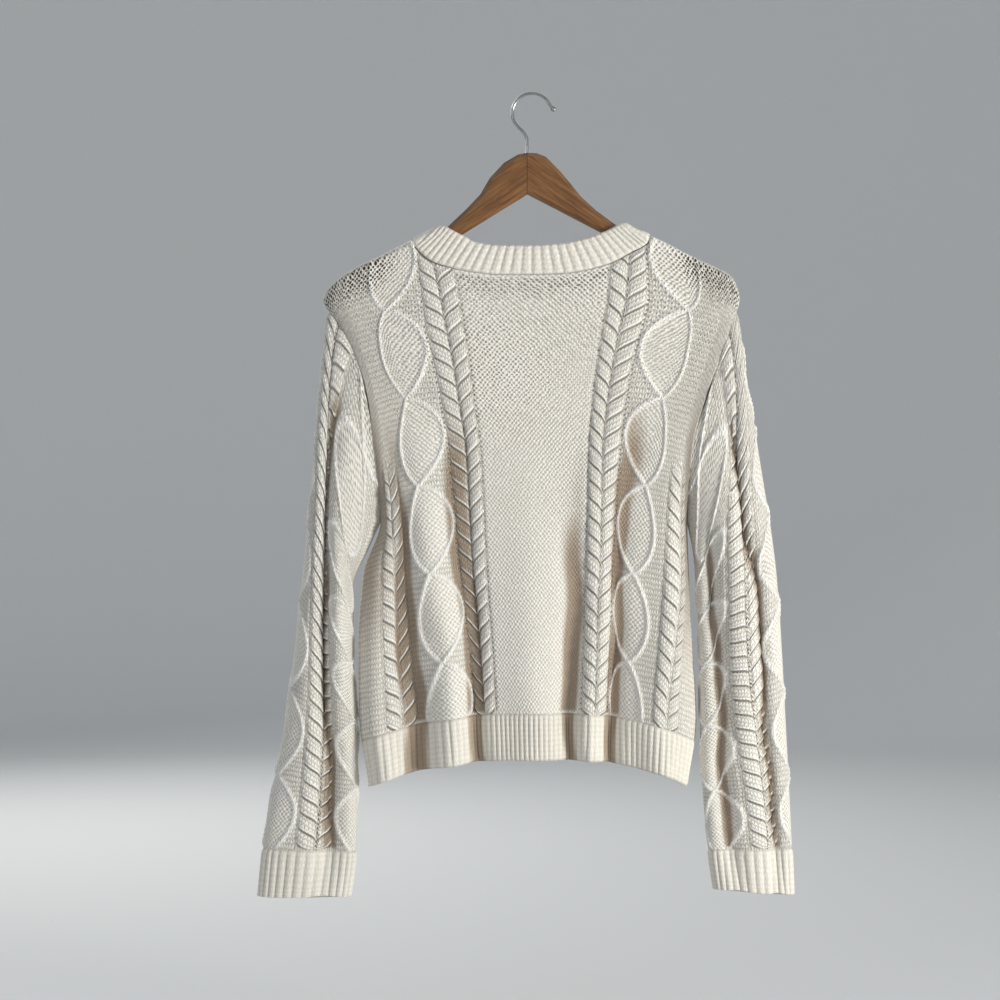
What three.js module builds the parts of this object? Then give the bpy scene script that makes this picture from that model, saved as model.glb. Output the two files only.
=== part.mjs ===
// A cable knit sweater on a wooden hanger, in millimetres, +Z up.
// The origin is the inner top of the hanger's hook. The garment's back faces -Y and its front faces +Y.
// Every cloth piece is a wall with a plain inside; cables, lattice lines and ribs are raised on its outside.

import * as THREE from 'three';

// Cloth
const WALL = 2.2;
const SEAM_GAP = 0.3;
const HALF_CHEST = 227;
const RIB_HEIGHT = 49;
const RIB_RELIEF = 1.7;
const CABLE_RELIEF = { ridge: 3.2, groove: 1.5, ladder: 0.2 };
const LATTICE_RELIEF = 2.3;
const ROW = 9.25;
const FIRST_ROW = 4.5;
const CABLE_HALF = 16;
const CABLE_SLANT = 7;
const LATTICE = { reach: 22, line: 3.4, pitch: 92.5, firstCrossing: 60 };
const NEAR = -1;
const FAR = 1;

// Where the stitch columns run across a body panel, from the side seam (-227) to the other one (227).
const BODY_COLUMNS = [-227, -184, -134, -84, 84, 134, 184, 227];

// The body at a few heights: x of the same stitch columns there, and the half depth of the body.
const BODY_SECTIONS = [
  { z: -130, x: [-220, -196, -150, -106, 104, 154, 198, 220], depth: 9.4 },
  { z: -154, x: [-220, -196, -150, -106, 104, 154, 198, 220], depth: 9.6 },
  { z: -217, x: [-219, -197, -154, -95, 100, 167, 198, 219], depth: 10.5 },
  { z: -240, x: [-203, -189, -154, -91, 95, 163, 198, 211], depth: 11.2 },
  { z: -274, x: [-185, -178, -146, -84, 88, 150, 188, 200], depth: 12.5 },
  { z: -319, x: [-173, -165, -132, -77, 81, 138, 174, 185], depth: 14.5 },
  { z: -376, x: [-164, -156, -124, -68, 75, 127, 160, 168], depth: 17 },
  { z: -450, x: [-157, -147, -114, -63, 73, 115, 155, 163], depth: 19.5 },
  { z: -510, x: [-176, -145, -106, -59, 71, 107, 155, 165], depth: 21 },
  { z: -588, x: [-181, -142, -94, -52, 68, 103, 148, 169], depth: 23 },
  { z: -662, x: [-180, -137, -86, -47, 65, 101, 140, 173], depth: 24.5 },
  { z: -740, x: [-170, -134, -82, -44, 64, 101, 138, 163], depth: 25.5 },
];

// The line of the shoulders, on the inside of the cloth.
const SHOULDER_LINE = [
  { x: -223, z: -232 }, { x: -218, z: -216 }, { x: -212.5, z: -206 }, { x: -202, z: -196 },
  { x: -185, z: -185 }, { x: -161, z: -173.5 }, { x: -137.5, z: -161.5 }, { x: -112, z: -149 },
  { x: -88, z: -139 }, { x: 88, z: -136 }, { x: 112, z: -145.5 }, { x: 138, z: -156.5 },
  { x: 166, z: -171 }, { x: 197, z: -185.5 }, { x: 210, z: -193 }, { x: 217, z: -207 }, { x: 223, z: -228 },
];

// The seam of the neckband: z along x, for the back (near) and the front (far) neckline.
const NECK = { left: -125.4, right: 126, column: 106, drop: 7, dropColumn: 103.5 };
const NECK_SEAM = {
  [NEAR]: [
    { x: -125.4, z: -155.4 }, { x: -123.2, z: -162.4 }, { x: -101, z: -180 }, { x: -69, z: -188 }, { x: -33, z: -192 },
    { x: 2, z: -192 }, { x: 37, z: -190.5 }, { x: 81, z: -181 }, { x: 107, z: -168 }, { x: 123.5, z: -158.5 },
    { x: 126, z: -151.4 },
  ],
  [FAR]: [
    { x: -125.4, z: -155.4 }, { x: -123.2, z: -162.4 }, { x: -114, z: -196 }, { x: -82, z: -232 }, { x: -40, z: -252 },
    { x: 2, z: -257 }, { x: 44, z: -251 }, { x: 86, z: -228 }, { x: 116, z: -190 }, { x: 123.5, z: -158.5 },
    { x: 126, z: -151.4 },
  ],
};
const NECK_EDGE = {
  [NEAR]: [
    { x: -96, z: -141 }, { x: -71, z: -150.5 }, { x: -59, z: -157 }, { x: -33, z: -160.5 },
    { x: 2, z: -160.5 }, { x: 28, z: -159 }, { x: 54, z: -154 }, { x: 77, z: -146 }, { x: 97, z: -138.4 },
  ],
  [FAR]: [
    { x: -96, z: -141 }, { x: -84, z: -178 }, { x: -64, z: -203 }, { x: -34, z: -219 },
    { x: 2, z: -224 }, { x: 38, z: -218 }, { x: 68, z: -199 }, { x: 88, z: -170 }, { x: 97, z: -138.4 },
  ],
};

// Folds of a body panel: the stitch column they follow, how far they push out (or in), their width
// there, and the height where they begin to show. They grow down to the hem.
const BODY_FOLDS = {
  [NEAR]: [
    { column: -212, push: 6, width: 16, from: -480 },
    { column: -170, push: -11, width: 18, from: -330 },
    { column: -128, push: 10, width: 22, from: -340 },
    { column: -98, push: -12, width: 19, from: -330 },
    { column: -12, push: 9, width: 40, from: -360 },
    { column: 46, push: -8, width: 18, from: -440 },
    { column: 84, push: 9, width: 17, from: -330 },
    { column: 110, push: -12, width: 19, from: -320 },
    { column: 178, push: 10, width: 26, from: -330 },
  ],
  [FAR]: [
    { column: -190, push: -9, width: 18, from: -400 },
    { column: -140, push: 9, width: 23, from: -340 },
    { column: -92, push: -12, width: 19, from: -340 },
    { column: -30, push: 7, width: 30, from: -420 },
    { column: 26, push: -9, width: 20, from: -400 },
    { column: 76, push: 10, width: 18, from: -340 },
    { column: 124, push: -12, width: 19, from: -330 },
    { column: 176, push: 9, width: 22, from: -380 },
  ],
};

// The sleeves as flattened rings from the armhole (0) to the cuff seam (1) and the cuff's end (1.09):
// x and z of the outer and the inner fold, half depth, and how far the ring lies towards the back.
const SLEEVES = {
  left: {
    side: -1,
    rings: [
      { at: 0, outX: -218, outZ: -229, inX: -163, inZ: -450, depth: 15, shift: 0 },
      { at: 0.12, outX: -220, outZ: -298, inX: -176, inZ: -482, depth: 21, shift: 3 },
      { at: 0.25, outX: -226, outZ: -372, inX: -191, inZ: -520, depth: 24, shift: 5 },
      { at: 0.5, outX: -239, outZ: -514, inX: -191, inZ: -592, depth: 25, shift: 6 },
      { at: 0.75, outX: -256, outZ: -657, inX: -186, inZ: -684, depth: 21, shift: 6 },
      { at: 1, outX: -281, outZ: -797, inX: -188, inZ: -800, depth: 14, shift: 4 },
      { at: 1.09, outX: -286, outZ: -848, inX: -194, inZ: -848, depth: 12.5, shift: 4 },
    ],
    folds: [
      { from: 0.34, to: 0.64, push: -10, width: 0.19, start: 0.02, end: 0.7, face: NEAR },
      { from: 0.72, to: 0.85, push: 5, width: 0.14, start: 0.1, end: 0.5, face: NEAR },
      { from: 0.62, to: 0.45, push: -9, width: 0.18, start: 0.1, end: 0.7, face: FAR },
    ],
    cableTurn: [{ at: 0, turn: 0.16 }, { at: 0.3, turn: 0.34 }, { at: 0.7, turn: 0.49 }, { at: 1, turn: 0.54 }],
  },
  right: {
    side: 1,
    rings: [
      { at: 0, outX: 219, outZ: -222, inX: 169, inZ: -450, depth: 15, shift: 0 },
      { at: 0.12, outX: 225, outZ: -292, inX: 174, inZ: -480, depth: 20, shift: 2 },
      { at: 0.25, outX: 236, outZ: -368, inX: 177, inZ: -516, depth: 23, shift: 4 },
      { at: 0.5, outX: 257, outZ: -514, inX: 181, inZ: -592, depth: 24, shift: 5 },
      { at: 0.75, outX: 266, outZ: -660, inX: 182, inZ: -690, depth: 21, shift: 5 },
      { at: 1, outX: 273, outZ: -797, inX: 190, inZ: -798, depth: 14, shift: 4 },
      { at: 1.09, outX: 275, outZ: -846, inX: 196, inZ: -840, depth: 12.5, shift: 4 },
    ],
    folds: [
      { from: 0.42, to: 0.3, push: -5, width: 0.13, start: 0.05, end: 0.7, face: NEAR },
      { from: 0.8, to: 0.66, push: -6.5, width: 0.15, start: 0.2, end: 0.7, face: NEAR },
      { from: 0.3, to: 0.5, push: -9, width: 0.18, start: 0.1, end: 0.7, face: FAR },
    ],
    cableTurn: [{ at: 0, turn: 0.2 }, { at: 0.3, turn: 0.4 }, { at: 0.55, turn: 0.46 }, { at: 1, turn: 0.37 }],
  },
};
const HEM = { middleZ: -702, droop: 30 };
const LEAST_DEPTH = 7.5;
const OUTER_CABLE_TOP = { from: 250, to: 290 };
const SLEEVE_LENGTH = 575;
const HALF_ROUND = 120;
const SLEEVE_LATTICE_FROM_CABLE = 50;
const ARMHOLE = { depth: 15, tipZ: -228, underarmZ: -450, clear: 1.8 };
const UNDERARM_ROOM = 5;
const SIDE_ROUNDING = 26;
const SHOULDER_ROUNDING = { depth: 8, height: 5, slope: 0.35 };
const MIDDLE_GAP = 0.2;
const NECKBAND_CLEAR = { [NEAR]: 1.8, [FAR]: 4 };
const NECK_DEPTH = { [NEAR]: 10, [FAR]: 11.5 };

const smooth = (a, b, x) => THREE.MathUtils.smoothstep(x, Math.min(a, b), Math.max(a, b));
const falling = (a, b, x) => 1 - smooth(a, b, x);

// A soft curve through the rows of a table, read at one key.
function along(rows, key, at, value) {
  const rising = rows[rows.length - 1][key] > rows[0][key];
  const list = rising ? rows : [...rows].reverse();
  const last = list.length - 1;
  let i = 0;
  while (i < last - 1 && at > list[i + 1][key]) i += 1;
  const get = (k) => value(list[THREE.MathUtils.clamp(k, 0, last)]);
  const key0 = list[i][key];
  const key1 = list[i + 1][key];
  const part = THREE.MathUtils.clamp((at - key0) / (key1 - key0), 0, 1);
  const slope = (k) => {
    if (k <= 0 || k >= last) return 0;
    const left = (get(k) - get(k - 1)) / (list[k][key] - list[k - 1][key]);
    const right = (get(k + 1) - get(k)) / (list[k + 1][key] - list[k][key]);
    return left * right <= 0 ? 0 : (2 * left * right) / (left + right);
  };
  const span = key1 - key0;
  const p2 = part * part;
  const p3 = p2 * part;
  return get(i) * (2 * p3 - 3 * p2 + 1) + span * slope(i) * (p3 - 2 * p2 + part)
    + get(i + 1) * (3 * p2 - 2 * p3) + span * slope(i + 1) * (p3 - p2);
}

// x of a stitch column at a height.
function columnX(column, z) {
  let k = 0;
  while (k < BODY_COLUMNS.length - 2 && column > BODY_COLUMNS[k + 1]) k += 1;
  const part = (column - BODY_COLUMNS[k]) / (BODY_COLUMNS[k + 1] - BODY_COLUMNS[k]);
  const a = along(BODY_SECTIONS, 'z', z, (row) => row.x[k]);
  const b = along(BODY_SECTIONS, 'z', z, (row) => row.x[k + 1]);
  return a + (b - a) * part;
}

const hemZ = (column) => HEM.middleZ - HEM.droop * Math.abs(column / HALF_CHEST) ** 3;
const shoulderZ = (x) => along(SHOULDER_LINE, 'x', x, (row) => row.z);

// The height where a stitch column ends, at the shoulder or at the neckline.
function topZ(column, face) {
  const size = Math.abs(column);
  const neckPoint = shoulderZ(column < 0 ? NECK.left : NECK.right);
  if (size === NECK.column) return neckPoint;
  if (size === NECK.dropColumn) return neckPoint - NECK.drop;
  let z = -190;
  for (let pass = 0; pass < 12; pass += 1) {
    const x = columnX(column, z);
    const inNeck = x > NECK.left && x < NECK.right;
    const goal = inNeck ? along(NECK_SEAM[face], 'x', x, (row) => row.z) : shoulderZ(x);
    z += (Math.min(goal, shoulderZ(x)) - z) * 0.7;
  }
  return z;
}

// How far the cloth stands off the middle plane at the armhole seam.
function armholeDepth(z) {
  const part = (ARMHOLE.tipZ - z) / (ARMHOLE.tipZ - ARMHOLE.underarmZ);
  return part <= 0 || part >= 1 ? 0 : ARMHOLE.depth * Math.sin(Math.PI * part) ** 0.7;
}

// How far cloth that runs over the shoulder line stands off the middle plane.
function offMiddle(x, z, depth) {
  const drop = Math.max(0, shoulderZ(x) - z);
  const turned = Math.min(1, drop / SHOULDER_ROUNDING.height);
  const over = SHOULDER_ROUNDING.depth * Math.sqrt(1 - (1 - turned) ** 2);
  return Math.min(depth, over + drop * SHOULDER_ROUNDING.slope);
}

// The inside of a body panel.
function bodyPoint(column, z, face) {
  const x = columnX(column, z);
  const edge = columnX(Math.sign(column || 1) * HALF_CHEST, z);
  const inward = THREE.MathUtils.clamp(Math.abs(x - edge) / SIDE_ROUNDING, 0, 1);
  const round = Math.sqrt(1 - (1 - inward) ** 2);
  let depth = along(BODY_SECTIONS, 'z', z, (row) => row.depth);
  for (const fold of BODY_FOLDS[face]) {
    const grown = Math.max(0, (fold.from - z) / (fold.from - HEM.middleZ));
    depth += fold.push * Math.min(1, grown) ** 0.8 * Math.exp(-(((column - fold.column) / fold.width) ** 2));
  }
  const seam = armholeDepth(z);
  depth = seam + (Math.max(depth, LEAST_DEPTH) - seam) * round;
  return new THREE.Vector3(x, face * (offMiddle(x, z, depth) + MIDDLE_GAP), z);
}

// The outward direction of a surface given by two numbers.
function outward(surface, a, b, stepA, stepB, turn) {
  const da = surface(a + stepA, b).sub(surface(a - stepA, b));
  const db = surface(a, b + stepB).sub(surface(a, b - stepB));
  return da.cross(db).multiplyScalar(turn).normalize();
}

function bodyOutward(column, z, face) {
  const c = THREE.MathUtils.clamp(column, -HALF_CHEST + 0.5, HALF_CHEST - 0.5);
  const normal = outward((a, b) => bodyPoint(a, b, face), c, z, 0.5, 0.5, -face);
  const atSide = Math.abs(column) > HALF_CHEST - 0.1 && armholeDepth(z) < 0.01;
  const atShoulder = shoulderZ(bodyPoint(column, z, face).x) - z < 0.05;
  if (atSide || atShoulder) normal.y = 0;
  if (atShoulder && normal.z < 0.3) normal.z = 0.6;
  return normal.normalize();
}

// A closed body made of an outer and an inner sheet of columns, with rims between them.
// Each column is a list of points with its place along the column, so neighbours may differ in number.
class ClothBody {
  constructor() {
    this.points = [];
    this.faces = [];
  }

  column(points) {
    return points.map(({ point, at }) => ({ at, id: this.points.push(point) - 1 }));
  }

  zip(a, b) {
    let i = 0;
    let j = 0;
    while (i < a.length - 1 || j < b.length - 1) {
      const nextA = i < a.length - 1 ? a[i + 1].at : Infinity;
      const nextB = j < b.length - 1 ? b[j + 1].at : Infinity;
      if (nextA <= nextB) {
        this.faces.push([a[i].id, b[j].id, a[i + 1].id]);
        i += 1;
      } else {
        this.faces.push([a[i].id, b[j].id, b[j + 1].id]);
        j += 1;
      }
    }
  }

  sheet(columns, closed, flip) {
    const count = closed ? columns.length : columns.length - 1;
    for (let k = 0; k < count; k += 1) {
      const a = columns[k];
      const b = columns[(k + 1) % columns.length];
      if (flip) this.zip(b, a);
      else this.zip(a, b);
    }
  }

  // The rims take the first and last point of each column, placed by the number in "across".
  close(outer, inner, closed, flip) {
    const ends = (columns, pick) => columns.map((c) => ({ id: pick(c.list).id, at: c.across }));
    const first = (list) => list[0];
    const final = (list) => list[list.length - 1];
    for (const [pick, turned] of [[first, false], [final, true]]) {
      const a = ends(outer, pick);
      const b = ends(inner, pick);
      if (closed) {
        a.push({ id: a[0].id, at: outer[0].across + closed });
        b.push({ id: b[0].id, at: inner[0].across + closed });
      }
      if (turned === flip) this.zip(a, b);
      else this.zip(b, a);
    }
    if (closed) return;
    for (const [pick, turned] of [[first, true], [final, false]]) {
      const a = pick(outer).list;
      const b = pick(inner).list;
      if (turned === flip) this.zip(a, b);
      else this.zip(b, a);
    }
  }

  geometry() {
    const geometry = new THREE.BufferGeometry();
    const flat = this.points.flatMap((p) => [p.x, p.y, p.z]);
    geometry.setAttribute('position', new THREE.Float32BufferAttribute(flat, 3));
    geometry.setIndex(this.faces.flat());
    geometry.computeVertexNormals();
    return geometry;
  }
}

// columns: { across, rows: [{ at, relief }] }; place(across, at) gives the inside point and the direction out.
function clothGeometry({ outer, inner, place, closed = 0, flip = false }) {
  const body = new ClothBody();
  const build = (columns, lift) => columns.map((column) => ({
    across: column.across,
    list: body.column(column.rows.map((row) => {
      const across = row.across ?? column.across;
      const { point, normal } = place(across, row.at);
      return { at: row.order ?? row.at, point: point.addScaledVector(normal, lift * (WALL + (row.relief ?? 0))) };
    })),
  }));
  const outside = build(outer, 1);
  const inside = build(inner, 0);
  body.sheet(outside.map((c) => c.list), closed > 0, flip);
  body.sheet(inside.map((c) => c.list), closed > 0, !flip);
  body.close(outside, inside, closed, flip);
  return body.geometry();
}

// The last rows of all columns meet each other, so they come after any distance along a column.
const LAST_ROW = 10000;

// The rows of one column of a patterned piece, from 0 to its length.
function patternRows(length, every, slant, reliefAt) {
  const rows = [{ at: 0, order: 0, relief: 0 }];
  const count = Math.floor((length - FIRST_ROW - ROW * 0.4) / ROW);
  for (let k = 0; k <= count; k += every) {
    const middle = FIRST_ROW + k * ROW;
    const room = Math.min(1, middle / 16, (length - middle) / 16);
    rows.push({ at: middle + slant * room, order: middle, relief: reliefAt(k, middle) * Math.min(1, room * 2) });
  }
  rows.push({ at: length, order: LAST_ROW, relief: 0 });
  return rows;
}

// The five columns of a pair of mirrored ropes with a ladder between them.
function cableColumns(centre, length, strength) {
  const crest = (k, at) => (k % 2 ? CABLE_RELIEF.groove : CABLE_RELIEF.ridge) * strength(at);
  const ladder = (k, at) => CABLE_RELIEF.ladder * strength(at);
  const plain = () => 0;
  return [
    { offset: -CABLE_HALF, every: 2, slant: CABLE_SLANT, relief: plain },
    { offset: -CABLE_HALF / 2, every: 1, slant: 0, relief: crest },
    { offset: 0, every: 1, slant: -CABLE_SLANT, relief: ladder },
    { offset: CABLE_HALF / 2, every: 1, slant: 0, relief: crest },
    { offset: CABLE_HALF, every: 2, slant: CABLE_SLANT, relief: plain },
  ].map(({ offset, every, slant, relief }) => ({
    across: centre + offset,
    rows: patternRows(length(centre + offset), every, slant, relief),
  }));
}

// Half the width of a lattice diamond at a height above the first row.
function latticeReach(at) {
  const turn = (Math.PI * (at - LATTICE.firstCrossing)) / LATTICE.pitch;
  return Math.max(2.4, LATTICE.reach * Math.abs(Math.sin(turn)) ** 0.8);
}

const plainColumn = (across, length, every = 2) => ({
  across,
  rows: patternRows(length(across), every, 0, () => 0),
});

// A column whose place across changes on its way up.
function windingColumn(middle, length, every, relief, placeAt) {
  const end = placeAt(length(middle));
  const rows = patternRows(length(end), every, 0, () => relief);
  for (const row of rows) row.across = row.order === LAST_ROW ? end : placeAt(row.at);
  return { across: middle, rows };
}

// The seven columns of a lattice: each of its two lines has a foot on both sides of its crest,
// and the ground inside the diamonds has a column of its own.
function latticeColumns(centre, length, every = 2) {
  const line = (side) => [-1, 0, 1].map((step) => windingColumn(
    centre + side * LATTICE.reach + step * LATTICE.line,
    length,
    every,
    step === 0 ? LATTICE_RELIEF : 0,
    (at) => {
      const reach = latticeReach(at);
      const foot = step === -side ? Math.min(LATTICE.line, reach * 0.7) : LATTICE.line;
      return centre + side * reach + step * foot;
    },
  ));
  return [...line(-1), plainColumn(centre, length, every * 2), ...line(1)];
}

// The ground beside a lattice, midway between its line and the next column.
function groundColumn(centre, beside, length) {
  const side = Math.sign(beside - centre);
  const middleOf = (reach) => (centre + side * (reach + LATTICE.line) + beside) / 2;
  return windingColumn(middleOf(LATTICE.reach), length, 4, 0, (at) => middleOf(latticeReach(at)));
}

// A body panel, from the rib seam up. "at" is the distance above that seam.
function panelGeometry(face) {
  const seamZ = (column) => hemZ(column) + RIB_HEIGHT + SEAM_GAP * 2;
  const tops = new Map();
  const top = (column) => {
    const key = Math.round(column * 10);
    if (!tops.has(key)) tops.set(key, topZ(column, face) - (Math.abs(column) > NECK.column ? 0 : SEAM_GAP));
    return tops.get(key);
  };
  const topBands = [6, 2.5, 0.8, 0];
  const length = (column) => top(column) - seamZ(column) - topBands[0];
  const outerStrength = (at) => falling(OUTER_CABLE_TOP.from, OUTER_CABLE_TOP.to, at);
  const finish = (columns) => columns.map((column) => {
    const { across, at: full } = column.rows[column.rows.length - 1];
    for (const row of column.rows) {
      row.relief *= row.across === undefined ? 1 : falling(full - 14, full, row.at);
    }
    const extra = topBands.slice(1).map((band) => {
      const over = topBands[0] - band;
      return { at: full + over, order: LAST_ROW + over, relief: 0, across };
    });
    return { across: column.across, rows: [...column.rows, ...extra] };
  });
  const mirrored = (columns) => [...columns].reverse().map((c) => -c);
  const plain = (columns, every) => columns.map((c) => plainColumn(c, length, every));
  const sides = [-227, -223.5, -213];
  const neck = [-NECK.column, -NECK.dropColumn];
  const middle = [-42, -14, 14, 42];
  const outer = finish([
    ...plain(sides),
    ...cableColumns(-184, length, outerStrength),
    groundColumn(-134, -168, length),
    ...latticeColumns(-134, length),
    groundColumn(-134, -106, length),
    ...plain(neck, 6),
    ...cableColumns(-84, length, () => 1),
    ...plain(middle, 3),
    ...cableColumns(84, length, () => 1),
    ...plain(mirrored(neck), 6),
    groundColumn(134, 106, length),
    ...latticeColumns(134, length),
    groundColumn(134, 168, length),
    ...cableColumns(184, length, outerStrength),
    ...plain(mirrored(sides)),
  ]);
  const inside = [-200, -184, -168, -159, -147, -134, -121, -106, -103.5, -92, -80, -68, -42, -14];
  const inner = finish([
    ...plain(sides, 2),
    ...plain([...inside, ...mirrored(inside)], 4),
    ...plain(mirrored(sides), 2),
  ]);
  const place = (column, at) => {
    const z = Math.min(seamZ(column) + at, topZ(column, face));
    return { point: bodyPoint(column, z, face), normal: bodyOutward(column, z, face) };
  };
  return clothGeometry({ outer, inner, place, flip: face === FAR });
}

// Ribs: crest and groove columns by turns, with straight rows.
function ribColumns(from, to, ribs, rows, closed) {
  const step = (to - from) / (ribs * 2);
  const count = closed ? ribs * 2 : ribs * 2 + 1;
  return Array.from({ length: count }, (_, k) => ({
    across: from + k * step,
    rows: rows.map((at) => ({ at, relief: k % 2 ? RIB_RELIEF : 0 })),
  }));
}

const plainColumns = (columns, skip) => columns.filter((_, k) => k % skip === 0 || k === columns.length - 1)
  .map((c) => ({ across: c.across, rows: c.rows.map(({ at }) => ({ at })) }));

function hemGeometry(face) {
  const ribs = 48;
  const outer = ribColumns(-HALF_CHEST, HALF_CHEST, ribs, [0, RIB_HEIGHT], false);
  const place = (column, at) => {
    const z = hemZ(column) + at;
    return { point: bodyPoint(column, z, face), normal: bodyOutward(column, z, face) };
  };
  return clothGeometry({ outer, inner: plainColumns(outer, 2), place, flip: face === FAR });
}

// The ring of a sleeve at a place along it, before its folds.
function sleeveLoft(sleeve, turn, at) {
  const ring = (name) => along(sleeve.rings, 'at', at, (row) => row[name]);
  const across = (1 - Math.cos(turn)) / 2;
  const high = Math.abs(Math.sin(turn)) ** 0.8 * -Math.sign(Math.sin(turn));
  return new THREE.Vector3(
    THREE.MathUtils.lerp(ring('outX'), ring('inX'), across),
    ring('depth') * high - ring('shift'),
    THREE.MathUtils.lerp(ring('outZ'), ring('inZ'), across),
  );
}

// The inside of a sleeve. "turn" goes round it: 0 is the outer fold, a half turn is the underarm.
function sleevePoint(sleeve, turn, at) {
  const point = sleeveLoft(sleeve, turn, at);
  const across = (1 - Math.cos(turn)) / 2;
  const face = Math.sin(turn) >= 0 ? NEAR : FAR;
  for (const fold of sleeve.folds) {
    if (fold.face !== face) continue;
    const middle = THREE.MathUtils.lerp(fold.from, fold.to, at);
    const shown = smooth(fold.start, fold.start + 0.2, at) * falling(fold.end, fold.end + 0.25, at);
    const away = (across - middle) / fold.width;
    const edge = Math.min(1, Math.abs(Math.sin(turn)) * 1.6);
    point.y += face * fold.push * shown * edge * Math.exp(-away * away);
  }
  const blend = Math.max(0, 1 - at / 0.2) ** 2;
  if (blend > 0) {
    const seam = armholeSeam(sleeve, across, face).point;
    point.addScaledVector(seam.sub(sleeveLoft(sleeve, turn, 0)), blend);
  }
  return point;
}

// The sleeve's edge along the armhole: just outside the body panel, with room at the underarm for both walls.
function armholeSeam(sleeve, across, face) {
  const z = THREE.MathUtils.lerp(ARMHOLE.tipZ - 1, ARMHOLE.underarmZ + 1, across);
  const column = sleeve.side * HALF_CHEST;
  const point = bodyPoint(column, z, face);
  const normal = bodyOutward(column, z, face);
  const inside = bodyPoint(column * 0.99, z, face);
  const away = point.clone().sub(inside);
  away.addScaledVector(normal, -away.dot(normal)).normalize();
  const under = smooth(0.72, 0.97, across);
  const tip = falling(0.1, 0.35, across);
  point.addScaledVector(away, ARMHOLE.clear * (1 - under)).add(new THREE.Vector3(sleeve.side * UNDERARM_ROOM * under, 0, 0));
  point.z -= tip * 4;
  return { point, normal, under };
}

function sleeveOutward(sleeve, turn, at) {
  const face = Math.sin(turn) >= 0 ? NEAR : FAR;
  const sample = (a, b) => sleevePoint(sleeve, a, Math.max(0.001, b));
  const own = outward(sample, turn, Math.max(at, 0.004), 0.02, 0.003, sleeve.side);
  const away = smooth(0.01, 0.09, at);
  if (away === 1) return own;
  const { normal, under } = armholeSeam(sleeve, (1 - Math.cos(turn)) / 2, face);
  return normal.lerp(own, Math.max(under, away)).normalize();
}

// A sleeve from the armhole down to the cuff seam. "at" is the distance down from the armhole.
function sleeveGeometry(sleeve) {
  const end = SLEEVE_LENGTH - SEAM_GAP;
  const length = () => end;
  const turnAt = (around, at) => {
    const centre = along(sleeve.cableTurn, 'at', at / SLEEVE_LENGTH, (row) => row.turn);
    return Math.PI * (centre + around / HALF_ROUND);
  };
  const apart = SLEEVE_LATTICE_FROM_CABLE;
  const under = [92, 111, 129, 148];
  const outer = [
    groundColumn(-apart, -under[0], length),
    ...latticeColumns(-apart, length),
    groundColumn(-apart, -CABLE_HALF, length),
    ...cableColumns(0, length, () => 1),
    groundColumn(apart, CABLE_HALF, length),
    ...latticeColumns(apart, length),
    groundColumn(apart, under[0], length),
    ...under.map((c) => plainColumn(c, length, 4)),
  ];
  const inner = [
    groundColumn(-apart, -under[0], length),
    plainColumn(-apart - LATTICE.reach / 2, length, 4),
    plainColumn(-apart, length, 4),
    plainColumn(-apart + LATTICE.reach / 2, length, 4),
    groundColumn(-apart, -CABLE_HALF, length),
    ...[-CABLE_HALF, 0, CABLE_HALF].map((c) => plainColumn(c, length, 4)),
    groundColumn(apart, CABLE_HALF, length),
    plainColumn(apart, length, 4),
    groundColumn(apart, under[0], length),
    ...under.map((c) => plainColumn(c, length, 4)),
  ];
  const place = (around, at) => {
    const turn = turnAt(around, at);
    const wrapped = Math.atan2(Math.sin(turn), Math.cos(turn));
    const part = at / SLEEVE_LENGTH;
    return { point: sleevePoint(sleeve, wrapped, part), normal: sleeveOutward(sleeve, wrapped, part) };
  };
  return clothGeometry({ outer, inner, place, closed: 2 * HALF_ROUND, flip: sleeve.side < 0 });
}

function cuffGeometry(sleeve) {
  const ribs = 30;
  const rows = [1, 1.045, 1.09];
  const outer = ribColumns(0, 2 * Math.PI, ribs, rows, true);
  const place = (turn, at) => {
    const wrapped = Math.atan2(Math.sin(turn), Math.cos(turn));
    return { point: sleevePoint(sleeve, wrapped, at), normal: sleeveOutward(sleeve, wrapped, at) };
  };
  return clothGeometry({
    outer, inner: plainColumns(outer, 2), place, closed: 2 * Math.PI, flip: sleeve.side < 0,
  });
}

// The neckband is a ring: half a turn over the back neckline, half a turn over the front one.
function neckPoint(turn, up) {
  const face = Math.sin(turn) >= 0 ? NEAR : FAR;
  const part = (1 - Math.cos(turn)) / 2;
  const point = (line) => {
    const x = THREE.MathUtils.lerp(line[0].x, line[line.length - 1].x, part);
    return new THREE.Vector3(x, 0, along(line, 'x', x, (row) => row.z));
  };
  const low = point(NECK_SEAM[face]);
  const high = point(NECK_EDGE[face]);
  const start = NECKBAND_CLEAR[face] / low.distanceTo(high);
  const result = low.lerp(high, start + up * (1 - start));
  result.y = face * offMiddle(result.x, result.z, NECK_DEPTH[face]);
  return result;
}

function neckbandGeometry() {
  const ribs = 58;
  const outer = ribColumns(0, 2 * Math.PI, ribs, [0, 0.5, 1], true);
  const place = (turn, up) => {
    const wrapped = Math.atan2(Math.sin(turn), Math.cos(turn));
    const inside = THREE.MathUtils.clamp(up, 0.02, 0.98);
    const normal = outward(neckPoint, wrapped, inside, 0.06, 0.02, 1);
    return { point: neckPoint(wrapped, up), normal };
  };
  return clothGeometry({ outer, inner: plainColumns(outer, 2), place, closed: 2 * Math.PI });
}

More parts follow.
